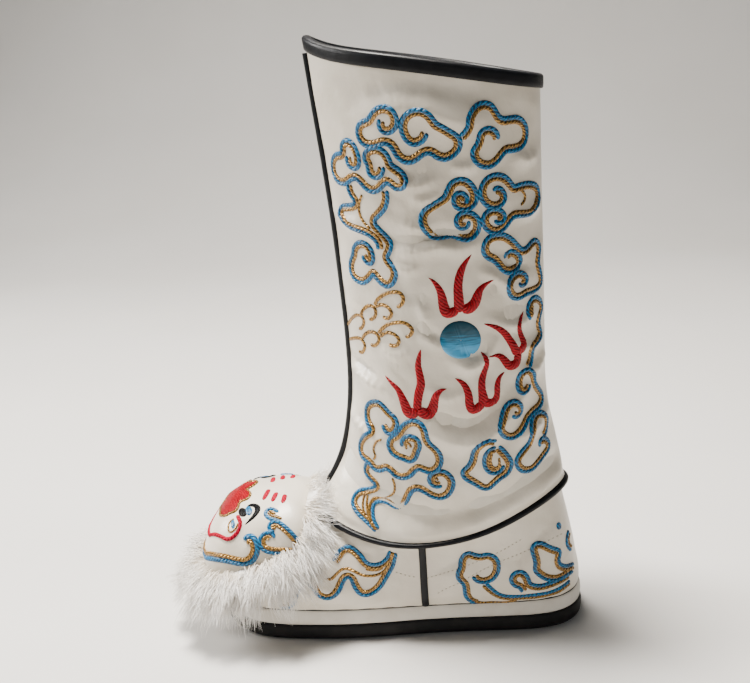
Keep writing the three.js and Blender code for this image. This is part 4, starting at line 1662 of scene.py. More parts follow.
SHAFT_CLOUDS = {
    "top_chain": Cloud(BlueOn.RIGHT, (
        (198.5, 150), (197.5, 154), (200, 159), (205, 160), (209.5, 156.5), (210.5, 151), (208.5, 145),
        (204, 141), (198, 140), (192, 142.5), (189, 147), (186, 150.5), (182, 152), (178.5, 154),
        (177, 159), (178.5, 165), (182, 169.5), (188, 171.5), (194, 171), (199, 169.5), (205, 170.5),
        (209, 174), (212, 179), (215, 183.5), (220, 187), (226, 187.5), (231, 185), (236, 181.5),
        (241, 180), (246, 181.5), (251, 185), (257, 186.5), (263, 184), (267.5, 179.5), (268.5, 174),
        (266.5, 169.5), (261, 165.5), (254, 161), (248, 157.5), (244, 152.5), (240, 148), (234, 145),
        (228, 145), (222, 148), (219, 153), (218.5, 159), (221, 166), (226, 171), (231, 171.5),
        (236, 168.5), (238.5, 163),
    )),
    "top_back": Cloud(BlueOn.LEFT, (
        (271.5, 170), (275.5, 166.5), (279, 161), (279.5, 155), (282, 148.5), (286.5, 143.5), (292, 142),
        (297.5, 144), (301, 149), (304.5, 154.5), (309, 157), (315, 156.5), (321, 156.5), (326, 160.5),
        (328, 167), (327, 174.5), (323.5, 179.5), (317, 181.5), (311, 182), (307, 186), (302.5, 191.5),
        (296, 195), (289, 193.5), (284.5, 189), (283.5, 183), (286.5, 178), (288.5, 173), (289.5, 168),
        (293, 165), (298, 165), (302, 168.5), (302.5, 173.5),
    )),
    "front_pair": Cloud(BlueOn.RIGHT, (
        (167, 181), (167.5, 187), (171, 191), (175, 190), (175.5, 184), (173.5, 177), (170, 171),
        (165.5, 168.5), (162, 171), (162, 177), (160, 180.5), (155.5, 181), (153, 185), (153, 192),
        (155, 199), (159, 204), (164, 204.5), (169, 201), (174, 200.5), (179, 204.5), (184, 210),
        (189.5, 213), (195, 211.5), (199, 207.5), (203, 205.5), (207.5, 208), (212, 211.5), (217, 211),
        (219, 206.5), (217, 201), (212, 196.5), (206, 192), (203.5, 186), (200, 180.5), (194, 177),
        (187.5, 177.5), (184, 181), (184.5, 186), (186.5, 189.5), (187, 193), (188.5, 198), (193, 200.5),
        (197.5, 197.5), (198, 192),
    )),
    "front_stem": Cloud(BlueOn.RIGHT, (
        (168, 207), (168.5, 212), (171, 217.5), (174, 222), (173.5, 227), (168, 228.5), (162, 228.5),
        (159.5, 233), (162, 239.5), (167, 244.5), (175, 248), (184, 251.5), (191, 256), (195.5, 261.5),
        (197, 268),
    )),
    "front_low": Cloud(BlueOn.LEFT, (
        (201, 214), (202, 221), (200, 229), (195, 235), (190.5, 239.5), (191, 245.5), (196, 251.5),
        (201.5, 257), (205.5, 263), (204.5, 269), (202, 274), (204, 279.5), (208.5, 285), (210, 291),
        (208, 297), (203.5, 300), (198.5, 297.5), (194, 292.5), (190, 288.5), (186, 293), (180.5, 296.5),
        (174.5, 294), (170.5, 288), (170, 280), (172.5, 272.5), (173.5, 266), (178, 262.5), (183.5, 264),
        (187.5, 269), (189, 276), (187, 279.5), (183.5, 276.5), (181.5, 272),
    )),
    "middle_front": Cloud(BlueOn.RIGHT, (
        (273, 228), (275, 225), (272.5, 221.5), (268.5, 221), (266.5, 225), (268, 230), (273, 232),
        (279, 231), (283, 226.5), (283, 220), (280, 214), (275, 209.5), (269, 208.8), (263.5, 211.5),
        (260.5, 217), (257.5, 223), (251.5, 227), (244.5, 231), (239, 235), (236.5, 241), (238, 248),
        (242.5, 254), (249, 257.3), (256, 256.5), (263, 255.5), (270, 258), (276.5, 259.5), (282, 256.5),
        (285.5, 250.5), (285, 243.5), (280, 239.2), (274, 238.5), (269.5, 241.5), (269, 246.5),
        (272, 249.5), (276, 248), (275.5, 244.5),
    )),
    "middle_back": Cloud(BlueOn.LEFT, (
        (301, 220), (303.5, 217.5), (307, 219.5), (309, 224), (307, 229), (301.5, 231.5), (295.5, 229.5),
        (291.5, 224.5), (290.5, 217.5), (293, 211), (298, 207), (304.5, 206), (310.5, 208.5),
        (314.5, 213), (318, 217), (324, 215.5), (331, 214.5), (336.5, 216), (338.5, 221), (338.5, 229),
        (336, 235.5), (331, 239), (325, 239.5), (318.5, 240), (314, 244), (309.5, 250), (303.5, 253.8),
        (297.5, 252.5), (293.5, 248), (293, 242), (296.5, 237.5), (302.5, 236.5), (307.5, 239),
        (308.5, 243), (305, 245), (302.5, 242.5),
    )),
    "back_upper": Cloud(BlueOn.LEFT, (
        (311.5, 279), (312.5, 275), (316.5, 273.5), (321, 276), (322.5, 280.5), (320, 286),
        (314.5, 289.3), (309, 287.5), (305, 282.5), (301, 278.5), (296, 276), (293, 271.5), (293.5, 266),
        (297, 261), (303, 259), (309.5, 259.5), (316, 263.5), (320.5, 268.5), (325.5, 272.5),
        (330, 270.5), (334, 265.5), (337.5, 264.5), (339.5, 269), (339, 276), (338.5, 283), (340, 290),
        (341.2, 297), (339.5, 303), (334.5, 306.5), (329, 308.5), (323, 312), (318, 311.5), (315.5, 307),
        (315, 300), (318, 295), (323, 292.5), (327.5, 294.5), (328, 299), (325, 301), (324, 298.5),
    )),
    "back_curl": Cloud(BlueOn.LEFT, (
        (333.5, 331.5), (331.5, 326), (331.8, 320), (334.5, 315.3), (338, 314.5), (341, 317.5),
        (341.5, 323), (340, 329), (339, 336), (340, 341), (341, 345.5), (339, 351), (335.5, 355.5),
        (333.5, 360), (332.5, 367), (330.5, 374),
    )),
    "back_middle": Cloud(BlueOn.LEFT, (
        (331, 389), (330.5, 393), (327.5, 396), (324, 394.5), (322.8, 390), (323.5, 384), (327, 379.3),
        (331.5, 377.8), (334.8, 381), (335.3, 387), (338, 393), (341.3, 397.5), (341.8, 403),
        (339.5, 408.5), (334.5, 413), (330, 418.5), (327, 425.5), (323, 432), (317, 435.8), (311, 435),
        (307.5, 430.5), (308.5, 423), (310.5, 414), (314.5, 408), (320, 406.3), (323.7, 409.5),
        (323.8, 414), (320.5, 417.5), (318, 415.5),
    )),
    "back_low": Cloud(BlueOn.LEFT, (
        (342.5, 443), (341.5, 440), (344, 437.8), (347.5, 440), (347.3, 445.5), (343.5, 451.5),
        (338.5, 458.5), (333, 464), (326.5, 465), (322.3, 461), (322.3, 455.5), (326.5, 449),
        (332, 441.5), (334.8, 432.5), (335.3, 422.5), (338, 416.8), (343, 415.5), (346.3, 419),
        (346, 425.5), (344.8, 431.5), (343, 434),
    )),
    "low_middle": Cloud(BlueOn.RIGHT, (
        (302, 442), (296.5, 441.5), (290.5, 444.3), (285.8, 448), (283.3, 453), (282, 459), (279, 464.5),
        (274.3, 469.3), (276, 473.5), (281, 476.5), (286.5, 479.3), (291, 482), (296, 481.5),
        (300.5, 477.5), (305.5, 472.7), (311, 468.8), (314, 463.8), (314.5, 459), (311, 453.5),
        (307.5, 449.5), (303.5, 446.5),
    )),
    "low_middle_curl": Cloud(BlueOn.LEFT, (
        (308, 461), (305.5, 465.5), (300.5, 467.8), (295.8, 465.5), (293.8, 460), (294.8, 453.5),
        (298.3, 449), (302.5, 448),
    )),
    "low_front": Cloud(BlueOn.RIGHT, (
        (200.2, 427.5), (201.5, 431), (204, 434.5), (207.5, 434.5), (210, 431), (211, 426),
        (208.8, 421.5), (204, 417.5), (199.5, 412.5), (195.5, 409.2), (191.5, 408.7), (187, 410.3),
        (184.8, 414), (184.6, 420), (186, 426.5), (188.7, 432), (188.7, 435.8), (185, 438.2),
        (181.3, 441), (178.8, 446), (178.5, 452), (180.5, 457.5), (185, 461), (189, 464.5), (191.5, 468),
        (196, 469), (202, 467), (207, 469.5), (212, 474), (218, 475.3), (224, 473), (228, 468.7),
        (232.5, 466.3), (237.5, 468), (243, 469.3), (248, 467), (251.3, 462), (251, 455.5), (247.5, 450),
        (241.5, 444.8), (238.8, 440), (237, 433), (232.8, 427.3), (226.5, 425.7), (220, 428.8),
        (216, 434), (211.8, 438.8), (207.3, 441.5), (205.8, 447), (208.5, 453), (214, 456.5), (219, 458),
        (223.8, 460), (228, 457.5), (230, 452), (231.8, 447.5), (230.5, 442), (226, 439.8),
        (221.3, 440.5), (218.5, 444.5), (219, 448),
    )),
    "tail": Cloud(BlueOn.LEFT, (
        (253.5, 480.5), (250, 481.8), (246, 480.8), (243.8, 477.5), (245, 473.8), (249, 471.2),
        (255, 470.8), (260, 474), (262.5, 479), (261.3, 485), (257.5, 490.3), (251.5, 492.3), (245, 491),
        (239, 487.7), (232.5, 485), (226.5, 486.2), (223, 490.5), (220, 497), (215.5, 502), (210, 501.3),
        (204, 498), (197, 496.8), (191, 498.8), (188.3, 504), (188, 511), (189.5, 518), (193.5, 525.5),
    )),
    "tail_tip": Cloud(BlueOn.LEFT, (
        (193.8, 526), (184, 516.3), (178, 511), (173.3, 505), (172, 499.5), (174.5, 493.8), (179, 490.5),
        (186, 489), (192.8, 487), (193, 482.5), (188.5, 478), (184, 472.5), (184, 467), (187, 464),
    )),
}

SHAFT_GOLD = {
    "stem_vein": ((180, 217), (178, 222), (177, 230), (178.5, 237), (182, 243), (188, 249)),
    "middle_arc": ((320, 217.5), (325, 219), (327.5, 223), (327, 228), (324, 232)),
    "low_front_vein": (
        (198.3, 441.7), (193.3, 443.9), (191.1, 447.8), (190.5, 452.2), (192.2, 456.1), (191.7, 458.9),
        (190, 460.5),
    ),
    "low_front_heart": ((225.5, 449), (224, 444.8), (220.8, 446), (221.5, 450.5)),
    "tail_vein_back": (
        (207.8, 476.7), (210, 482.2), (210, 488.9), (206.7, 492.8), (198.9, 495), (191.1, 495.5),
        (187.8, 500), (186.7, 506.7), (186.1, 516.7),
    ),
    "tail_vein_front": (
        (193.3, 488.9), (186.7, 490.5), (182.2, 493.3), (180.5, 499), (180.5, 506.7), (183.3, 513.3),
    ),
    "tail_vein_middle": ((184.9, 493), (183.9, 503.3), (185, 512.2)),
    "tail_curl": ((250.5, 478), (248.5, 475), (246.5, 477.5), (249, 480)),
    "low_middle_fold": ((303, 449.5), (307, 453), (311, 458), (312.5, 463)),
    "low_middle_heart": ((299, 452), (297.5, 458), (299, 463), (302.5, 464.5), (305.5, 461), (305, 455)),
    "back_curl_heart": ((334.5, 319.5), (334, 324), (334.5, 329)),
    "wave_high_long": (
        (191.5, 318.5), (194, 314), (198, 310.5), (203, 308), (208, 307), (213, 307), (216.5, 309),
        (218.5, 313), (217.5, 317.5), (214.5, 320), (212.5, 321.5),
    ),
    "wave_high_third": (
        (192, 320.5), (195, 318.8), (199, 318.5), (203, 320), (206, 323), (207.5, 326.5), (206, 330),
        (203, 331), (200.5, 330), (199.5, 328.5),
    ),
    "wave_high_second": (
        (179, 328.5), (180, 324), (183, 320.5), (187, 319), (190.5, 320.2), (192.5, 323.5), (192.5, 328),
        (190, 331), (187.5, 332), (186.3, 331),
    ),
    "wave_high_first": (
        (166.5, 337), (169, 332), (172.5, 328.5), (176.5, 327.5), (180, 329.5), (181.5, 334), (180.5, 338),
        (178, 340.5), (176.8, 339.8),
    ),
    "wave_low_long": (
        (195, 344.5), (198, 341), (201.5, 338), (206, 335.8), (212, 334.8), (218, 334.8), (223, 337),
        (226.5, 341), (226, 345), (222.5, 347.7), (220, 347.5),
    ),
    "wave_low_third": (
        (197, 348), (199, 345.5), (203, 343.8), (208, 344.5), (212, 347), (214.5, 351), (213, 355),
        (209.5, 356), (206, 355), (205, 354),
    ),
    "wave_low_second": (
        (180, 349.5), (182, 346), (185.5, 343.5), (189, 343), (193, 344.5), (195.5, 348), (195.5, 352),
        (192.5, 355.3), (190, 356), (188, 354),
    ),
    "wave_low_first": (
        (168.5, 349.7), (173, 348.8), (177.5, 349), (181, 352), (182.5, 356.5), (181, 361), (178.7, 362.3),
        (176.8, 360.3),
    ),
}

FLAMES = {
    "top_front": Stroke((
        (241.5, 294.3, 0.8), (246.5, 298, 2.8), (251.5, 305, 5), (254, 312, 6.5), (255.3, 319, 7.5),
        (257.8, 325.5, 8.5), (263, 326, 7.5), (268, 322.5, 7),
    )),
    "top_middle": Stroke((
        (280.8, 274, 0.8), (276, 280, 3.2), (272, 287, 5.2), (269.5, 295, 6.2), (268.5, 304, 6.8),
        (269, 313, 7.5), (269.5, 320, 8), (270, 326, 8.5),
    )),
    "top_back": Stroke((
        (300.5, 297, 0.8), (294, 300.5, 3), (288.5, 305.5, 5.2), (286, 311, 7), (283.5, 317.5, 8),
        (278, 322.5, 8.5), (272, 321.5, 8),
    )),
    "back_front": Stroke((
        (291.5, 336, 0.8), (299, 338, 3), (305, 340.5, 4.5), (310.5, 345, 5.5), (314.5, 350.5, 6),
        (318, 356, 6.5), (321, 363, 7),
    )),
    "back_middle": Stroke((
        (326.3, 324.5, 0.8), (324, 332, 2.8), (323, 340, 4), (324.5, 347, 5.2), (327, 353, 6.5),
        (325, 358.5, 7.5), (321, 362, 7),
    )),
    "back_low": Stroke((
        (296, 366, 0.8), (301, 364.3, 2.6), (306, 364.8, 4.4), (310, 368.5, 6), (314, 373, 7.2),
        (319, 372, 7.8), (321.5, 367.5, 7), (321, 362, 7),
    )),
    "low_front": Stroke((
        (201.2, 383, 0.8), (207.5, 389.9, 3.5), (213.1, 395.5, 5), (216.9, 402.4, 6.5), (219.8, 409.2, 8),
        (222.5, 416, 9), (226.5, 417.5, 8.8), (231.2, 414, 8),
    )),
    "low_middle": Stroke((
        (234.7, 359, 0.8), (233.1, 365.5, 3.2), (232.1, 374.2, 5), (233.7, 383, 6), (234.7, 391.1, 6.8),
        (232.7, 399.2, 7), (231.4, 408, 6.8), (231.5, 414, 7.5),
    )),
    "low_back": Stroke((
        (258.5, 394.5, 0.8), (253.1, 396.1, 3), (248.9, 400.5, 5.5), (246.9, 406.7, 6.8), (245.3, 413, 8.4),
        (241.5, 417.5, 9), (236.2, 416.5, 8.5), (231.9, 413.6, 8),
    )),
    "middle_front": Stroke((
        (265.6, 384.9, 0.8), (271.2, 388, 3.5), (275.6, 393, 5), (278.1, 400.5, 6), (278.9, 408, 6.8),
        (281.4, 412.8, 7.8), (286.2, 411.8, 8), (290.6, 406.7, 8),
    )),
    "middle_middle": Stroke((
        (288.7, 360.7, 0.8), (293.1, 366.1, 3.5), (294.4, 371.7, 4.8), (291.9, 379.2, 5.2),
        (290, 386.7, 5.8), (290, 395.5, 6.2), (291.2, 403, 8), (291, 409.5, 8),
    )),
    "middle_back": Stroke((
        (310, 378.6, 0.8), (305.6, 383.6, 3.5), (303.7, 390.5, 5), (303.5, 398, 5.6), (301.7, 403.8, 7.2),
        (296.9, 406.8, 8), (291.9, 405.5, 8),
    )),
}

PEARL_CENTRE = (270.6, 350.3)
PEARL_RADII = (19.0, 17.4)

FOOT_CLOUDS = {
    "vamp_top": Cloud(BlueOn.LEFT, (
        (153, 557.5), (156, 553), (160, 547), (165.5, 544), (171, 545.5), (176.5, 550.5), (181.5, 556.5),
        (187, 559), (194, 558.8), (200.5, 555.5), (205.5, 550), (208, 544.5),
    )),
    "vamp_low": Cloud(BlueOn.LEFT, (
        (209.5, 545), (207, 556), (203, 564), (199.5, 570), (196, 576), (191, 581), (185, 584.3),
        (179.5, 584.5), (175.5, 581), (172.5, 576), (170.5, 571.5), (166.5, 569), (162, 571),
        (158.5, 577), (155.5, 583.5), (150.5, 589), (144.5, 590.5), (138.5, 588.5), (134.5, 584),
        (131, 580), (127, 577), (120, 580), (115, 587), (112.5, 595), (109, 600.5), (104, 602), (99, 601),
    )),
    "quarter_front": Cloud(BlueOn.RIGHT, (
        (283.5, 561.5), (286, 565), (292, 565.8), (298.5, 563), (302.5, 557), (303, 550), (300.5, 545.5),
        (295, 543.5), (289, 545), (283, 544.5), (278, 543), (274.5, 545), (272.5, 549.5), (272, 556),
        (269.8, 561), (270.8, 565.5), (275, 569.5), (276.3, 575), (276.8, 579.5), (280, 583.5),
        (286, 585.5),
    )),
    "quarter_sweep": Cloud(BlueOn.LEFT, (
        (292, 569), (297, 573.5), (303, 577.5), (310, 579.3), (318, 579.2), (327, 578), (337, 576.5),
        (348, 573.8), (358, 569.3), (367, 562),
    )),
    "quarter_curl": Cloud(BlueOn.LEFT, (
        (327.5, 573), (324.5, 568.8), (319.5, 567), (317.3, 562.5), (320.8, 558), (326, 557.8),
        (329, 561.5), (331, 566.5), (336, 568.6), (342.5, 568.2), (350, 565.5), (358, 561.6), (366, 556),
    )),
    "quarter_back": Cloud(BlueOn.RIGHT, (
        (370, 547.5), (364, 550), (358.5, 549), (356, 545), (356.5, 540), (357.3, 536.5), (352, 535),
        (347, 533.2), (342, 531), (337.5, 531.8), (335.8, 535.5), (337.3, 541), (338.7, 547),
        (338.3, 553), (341, 556), (345.5, 558.8), (350, 559.8), (356, 559.3), (363, 555.5), (369, 550.5),
    )),
    "heel_leaf": Cloud(BlueOn.LEFT, (
        (368, 532.5), (365.2, 529), (364.8, 523.5), (366, 517.5),
    )),
}

FOOT_GOLD = {
    "vamp_vein": (
        (145, 573.9), (150, 573.3), (154.4, 568.9), (160, 563.8), (166.7, 562.8), (173.3, 565.5),
        (180, 568), (188.9, 568), (195.5, 566), (200.5, 562.5), (204, 557.5),
    ),
    "vamp_second": ((182.5, 562), (188, 562.6), (194.4, 562), (199.5, 559.5)),
    "quarter_ground": ((283, 584.6), (290, 585.6), (302.5, 585), (313, 583.2), (321, 581.2)),
}

BLUE_DOT_CENTRE = (357.2, 513.4)
BLUE_DOT_RADII = (2.2, 3.5)

STITCH_LINES = {
    "vamp": ((211, 563), (217, 564.6), (224, 566), (231, 566.7)),
    "quarter": (
        (250, 580), (259, 574.5), (269, 569.5), (280, 562.5), (291, 556), (301, 550.5), (311, 545.5),
        (320, 541.3), (329, 537), (337, 532.8), (345, 528.5), (353, 524), (361, 519.5),
    ),
    "quarter_high": (
        (240, 567), (255, 561.5), (270, 556), (285, 549.3), (300, 542), (310, 536.5), (320, 530),
        (328, 525),
    ),
}

FACE_CLOUDS = {
    "cheek": Cloud(BlueOn.RIGHT, (
        (91.5, 538.5), (91.5, 535.8), (88, 535), (83.5, 537), (81, 541), (82, 546.5), (87.5, 549.8),
        (97, 550.5), (107, 550), (115, 548.5), (119.5, 546.3), (117, 542), (112.5, 536.5), (106.5, 530.8),
        (100, 525.8), (95, 524), (90.8, 526), (91, 529.5), (95, 531),
    )),
    "brow_curl": Cloud(BlueOn.LEFT, (
        (101, 520.8), (96, 519.3), (90, 518), (86.8, 515), (88.7, 512), (92.5, 512.2), (96.5, 514.8),
    )),
}

JAW_BAND = Cloud(BlueOn.RIGHT, (
    (24.6, 558.3), (34, 559.2), (45, 560.3), (56, 562), (64, 562.3), (70.5, 558.8), (74, 552.5),
    (74, 546.5), (71.5, 540.8), (68, 540.3), (64.5, 543.5),
))

FACE_GOLD = {
    "brow_heart": ((92, 515.3), (96.5, 517), (100.2, 519)),
    "cheek_heart": ((93, 528), (96.5, 526.8), (100.2, 527.8), (106, 532.5), (111.5, 538.7), (115, 544)),
    "cheek_lip": (
        (89.1, 540.5), (86.3, 538.5), (84, 541.5), (85.3, 545.2), (90.2, 547.2), (100.2, 547.6),
        (110.2, 547),
    ),
    "whisker_leaf": (
        (53.6, 521.6), (49.5, 524.5), (47.4, 529), (48.2, 534.5), (52.2, 533.5), (56, 529.5),
        (57.2, 525.5),
    ),
}

MOUTH_CORD = (
    (56.5, 518.5), (59.3, 523.5), (59.3, 529), (56, 535.2), (50.6, 540.3), (45.5, 541.6), (39.5, 539.2),
    (33, 537.5), (28.6, 538.8),
)
EYE_LID = Stroke((
    (66.5, 509.6, 2.6), (71.5, 507.6, 4.4), (76.4, 508.8, 5.8), (77.2, 512.8, 6.4), (73.4, 518.2, 4.8),
    (68.4, 523.2, 2.8), (64.2, 527, 0.8),
))
EYE_PUPIL = ((62.2, 515.2), (4.6, 4.5))
EYE_WHITE_BLUE = ((68.3, 513.4), (3.7, 4.6))
LEAF_HEART = ((52.2, 527), (2.2, 4.4))
NOSE_EDGE = (
    (65, 494), (69.2, 495.4), (70, 498.6), (67, 502.4), (61.8, 504.6), (58.6, 507.4), (57.8, 511),
    (54.6, 514.8), (49.4, 517), (45, 519.4), (40, 519.4), (36.6, 517.6),
)
BROW_STRIPES = (
    Stroke(((82.8, 502.6, 3.8), (85.6, 497.6, 5.8), (88.8, 491.9, 5.2))),
    Stroke(((91.8, 503.8, 3.8), (94, 499.2, 5.8), (96.6, 494.4, 5.2))),
    Stroke(((102, 504.8, 3.8), (103.6, 500.4, 5.6), (104.9, 496, 5))),
)


@dataclass
class Ground:
    """A satin face that carries embroidery on both its sides."""

    face: Array
    inward: float  # column of the photograph towards which missed pixels are moved
    wrap: bool = True
    tree: BVHTree = field(init=False)

    def __post_init__(self) -> None:
        """Makes the face's search tree."""
        self.tree = tree_of(self.face, self.wrap)

    def pick(self, line: Array) -> Array:
        """Points of the face seen at pixels of the photograph."""
        return np.array([tuple(VIEW.hit(self.tree, x, y, self.inward)) for x, y in line])

    def nearest(self, points: Array) -> tuple[Array, Array]:
        """Finds the face near points.

        Args:
            points: The points.

        Returns:
            Nearest points of the face and its directions out there.
        """
        found = [self.tree.find_nearest(Vector(point)) for point in points.reshape(-1, 3)]
        places, normals = (np.array([tuple(hit[k]) for hit in found]).reshape(points.shape) for k in (0, 1))
        return places, normals


def mirrored(points: Array, side: Side) -> Array:
    """Points of the left side carried to a side of the boot."""
    return points * np.array([side.value, 1, 1])


@dataclass(frozen=True)
class Stitch:
    """How a cord is sewn: its width, or what a charted width is multiplied by, and its relief."""

    width: float
    height: float
    pitch: float = 1.3


@dataclass(frozen=True)
class Pad:
    """How a shape is filled: its relief, and how its stitches follow each other."""

    height: float
    grain: tuple[float, float, float] = (0, 0.3, 1)
    pitch: float = 0.9


@dataclass
class Needle:
    """Sews padded strokes, couched cords and filled shapes on a ground, and gathers them in pieces."""

    ground: Ground
    step: float = 0.68
    across: int = 6
    sink: float = 0.3
    twist: float = 0.2
    lean: float = 0.32
    thin: float = 0.35
    fill_rings: int = 14
    fill_ribs: float = 0.05
    seam_share: float = 0.47
    sewn: dict[str, list[tuple[Array, Array, Array]]] = field(default_factory=dict)

    def smoothed(self, points: Array, times: int = 3) -> Array:
        """Evens out small jumps.

        Args:
            points: Points along a line.
            times: How often they are evened out.

        Returns:
            The points, with the same ends.
        """
        for _ in range(times):
            evened = (points[:-2] + 2 * points[1:-1] + points[2:]) / 4
            points = np.concatenate([points[:1], evened, points[-1:]])
        return points

    def charted(self, line: tuple[Point2, ...]) -> Array:
        """Points of the ground along a line of pixels."""
        return self.smoothed(self.ground.pick(resample(np.array(line, float), CHART_STEP)))

    def keep(self, piece: str, side: Side, points: Array, faces: Array, uv: Array, both: bool) -> None:
        """Adds a patch of mesh to a piece.

        Args:
            piece: Name of the piece.
            side: Side of the boot that it lies on.
            points: Its points.
            faces: Its faces, as they turn on the wearer's left.
            uv: Its surface coordinates.
            both: Whether the piece is sewn on both sides, and so has the side in its name.
        """
        name = f"{piece}_{side.name.lower()}" if both else piece
        faces = faces if side is Side.LEFT else faces[:, ::-1]
        self.sewn.setdefault(name, []).append((points.reshape(-1, 3), faces, uv.reshape(-1, 2)))

    def cord(self, piece: str, line: Array, stitch: Stitch, offset: float = 0) -> None:
        """Sews one raised cord or stroke, charted in pixels, on both sides of the boot.

        Args:
            piece: Name of the piece, to which the side is added.
            line: Pixels along its middle or its seam, with widths in a third column if it tapers.
            stitch: How it is sewn.
            offset: How far its middle lies to the right of the line, as one goes along it.
        """
        dense = resample(np.array(line, float), CHART_STEP)
        middle = self.smoothed(self.ground.pick(dense[:, :2]))
        widths = dense[:, 2] * stitch.width if dense.shape[1] > 2 else np.full(len(dense), stitch.width)
        self.lay(piece, middle, widths, stitch, offset, tuple(Side))

    def over(self, piece: str, middle: Array, stitch: Stitch, offset: float = 0) -> None:
        """Sews one raised cord of even width over the middle of the boot.

        Args:
            piece: Name of the piece.
            middle: Points along the cord or its seam.
            stitch: How it is sewn.
            offset: How far its middle lies to the right of the points, as one goes along them.
        """
        self.lay(piece, middle, np.full(len(middle), stitch.width), stitch, offset, (Side.LEFT,))

    def lay(
        self,
        piece: str,
        middle: Array,
        widths: Array,
        stitch: Stitch,
        offset: float,
        sides: tuple[Side, ...],
    ) -> None:
        """Sews one raised cord along points of the ground.

        Args:
            piece: Name of the piece, to which the side is added when it is sewn on both.
            middle: Points along it.
            widths: Its width at each point.
            stitch: How it is sewn.
            offset: How far its middle lies to the right of the line, as one goes along it.
            sides: Sides on which it is sewn.
        """
        run = run_of(middle)
        wanted = np.linspace(0, run[-1], max(int(run[-1] / self.step), 4) + 1)
        middle = read_at(middle, run, wanted)
        widths = np.interp(wanted, run, widths)
        left = np.minimum(np.minimum(wanted, wanted[-1] - wanted) / (0.5 * widths.mean()), 1)
        closing = np.sqrt(np.clip(1 - (1 - left) ** 2, 0.004, 1))[:, None]
        widths = widths[:, None] * closing
        ahead = unit(self.smoothed(np.gradient(middle, axis=0), 4))
        normal = unit(self.smoothed(self.ground.nearest(middle)[1], 6))
        aside = unit(np.cross(ahead, normal))
        j = np.linspace(-1, 1, self.across)[None, :]
        beside = j * widths / 2
        base = middle[:, None] + aside[:, None] * (offset + beside)[..., None]
        crown = np.sqrt(np.maximum(1 - j**2, 0))
        ribs = 1 + self.twist * np.sin(2 * math.pi * (wanted[:, None] / stitch.pitch + self.lean * j))
        rise = stitch.height * closing * crown * ribs * np.minimum(widths / widths.max() + self.thin, 1)
        lift = rise - self.sink * (1 - crown)
        faces = grid_faces(len(wanted), self.across, False, True)
        uv = np.stack(np.broadcast_arrays(wanted[:, None], beside), axis=-1)
        for side in sides:
            seat, _ = self.ground.nearest(mirrored(base, side))
            points = seat + mirrored(normal, side)[:, None] * lift[..., None]
            self.keep(piece, side, points, faces, uv, len(sides) > 1)

    def fill(self, piece: str, edge: Array, pad: Pad, sides: tuple[Side, ...] = tuple(Side)) -> None:
        """Sews a padded filled shape.

        Args:
            piece: Name of the piece, to which the side is added when it is sewn on both.
            edge: Closed edge in the boot's frame, on the wearer's left or over the middle.
            pad: How it is filled.
            sides: Sides on which it is sewn.
        """
        shares = np.linspace(1, 0.02, self.fill_rings)[:, None]
        centre = edge.mean(axis=0)
        base = centre + (edge[None] - centre) * shares[..., None]
        normal = self.ground.nearest(base)[1]
        normal = unit(normal + normal.mean(axis=(0, 1)))
        rows = base @ unit(np.array(pad.grain))
        ribs = 1 + self.fill_ribs * np.sin(2 * math.pi * rows / pad.pitch)
        lift = pad.height * np.sqrt(np.clip(1 - shares**2.6, 0, 1)) * ribs - self.sink * (shares > 0.99)
        faces = grid_faces(len(shares), len(edge), False, True)
        uv = np.stack([rows, base[..., 1]], axis=-1)
        for side in sides:
            seat, _ = self.ground.nearest(mirrored(base, side))
            points = seat + mirrored(normal, side) * lift[..., None]
            self.keep(piece, side, points, faces, uv, len(sides) > 1)

    def across_middle(self, line: tuple[Point2, ...], bulge: float = 0.45) -> Array:
        """A line charted on the left carried over the middle to its mirror image.

        Args:
            line: Pixels of the photograph, from beside the middle outward.
            bulge: How far the part over the middle bows forward, as a share of its half length.

        Returns:
            Points in the boot's frame, from the right end to the left end.
        """
        left = self.charted(line)
        share = np.linspace(-1, 1, 31)[1:-1, None]
        x, y, z = left[0]
        over = np.concatenate([share * x, y - bulge * x * (1 - share**2), np.full(share.shape, z)], axis=1)
        return np.concatenate([mirrored(left, Side.RIGHT)[::-1], over, left])

    def ellipse(self, centre: Point2, radii: Point2, count: int) -> Array:
        """Closed edge of an ellipse charted in pixels.

        Args:
            centre: Its centre.
            radii: Its radii across and down.
            count: Number of points.

        Returns:
            Points of the ground.
        """
        return self.ground.pick(np.array(centre) + circle(1, count) * np.array(radii))

    def cloud(self, blue: str, gold: str, cloud: Cloud, cords: tuple[Stitch, Stitch]) -> None:
        """Sews a cloud's gold and blue cords on each side of its seam.

        Args:
            blue: Name of the blue piece.
            gold: Name of the gold piece.
            cloud: The cloud.
            cords: How the blue and the gold are sewn.
        """
        seam = np.array(cloud.seam, float)
        for piece, stitch, way in ((gold, cords[1], -1), (blue, cords[0], 1)):
            self.cord(piece, seam, stitch, way * cloud.blue.value * stitch.width * self.seam_share)

    def finish(self, finishes: dict[str, object]) -> None:
        """Makes the pieces and dresses each.

        Args:
            finishes: Finishes by the start of a piece's name.
        """
        for name, parts in self.sewn.items():
            shift, points, faces, uv = 0, [], [], []
            for one_points, one_faces, one_uv in parts:
                points.append(one_points)
                faces.append(one_faces + shift)
                uv.append(one_uv)
                shift += len(one_points)
            joined = (np.concatenate(rows) for rows in (points, faces, uv))
            piece = mesh_object(name, *joined, sharp=80)
            finish = next(value for key, value in finishes.items() if name.startswith(key))
            dress(piece, finish, None)


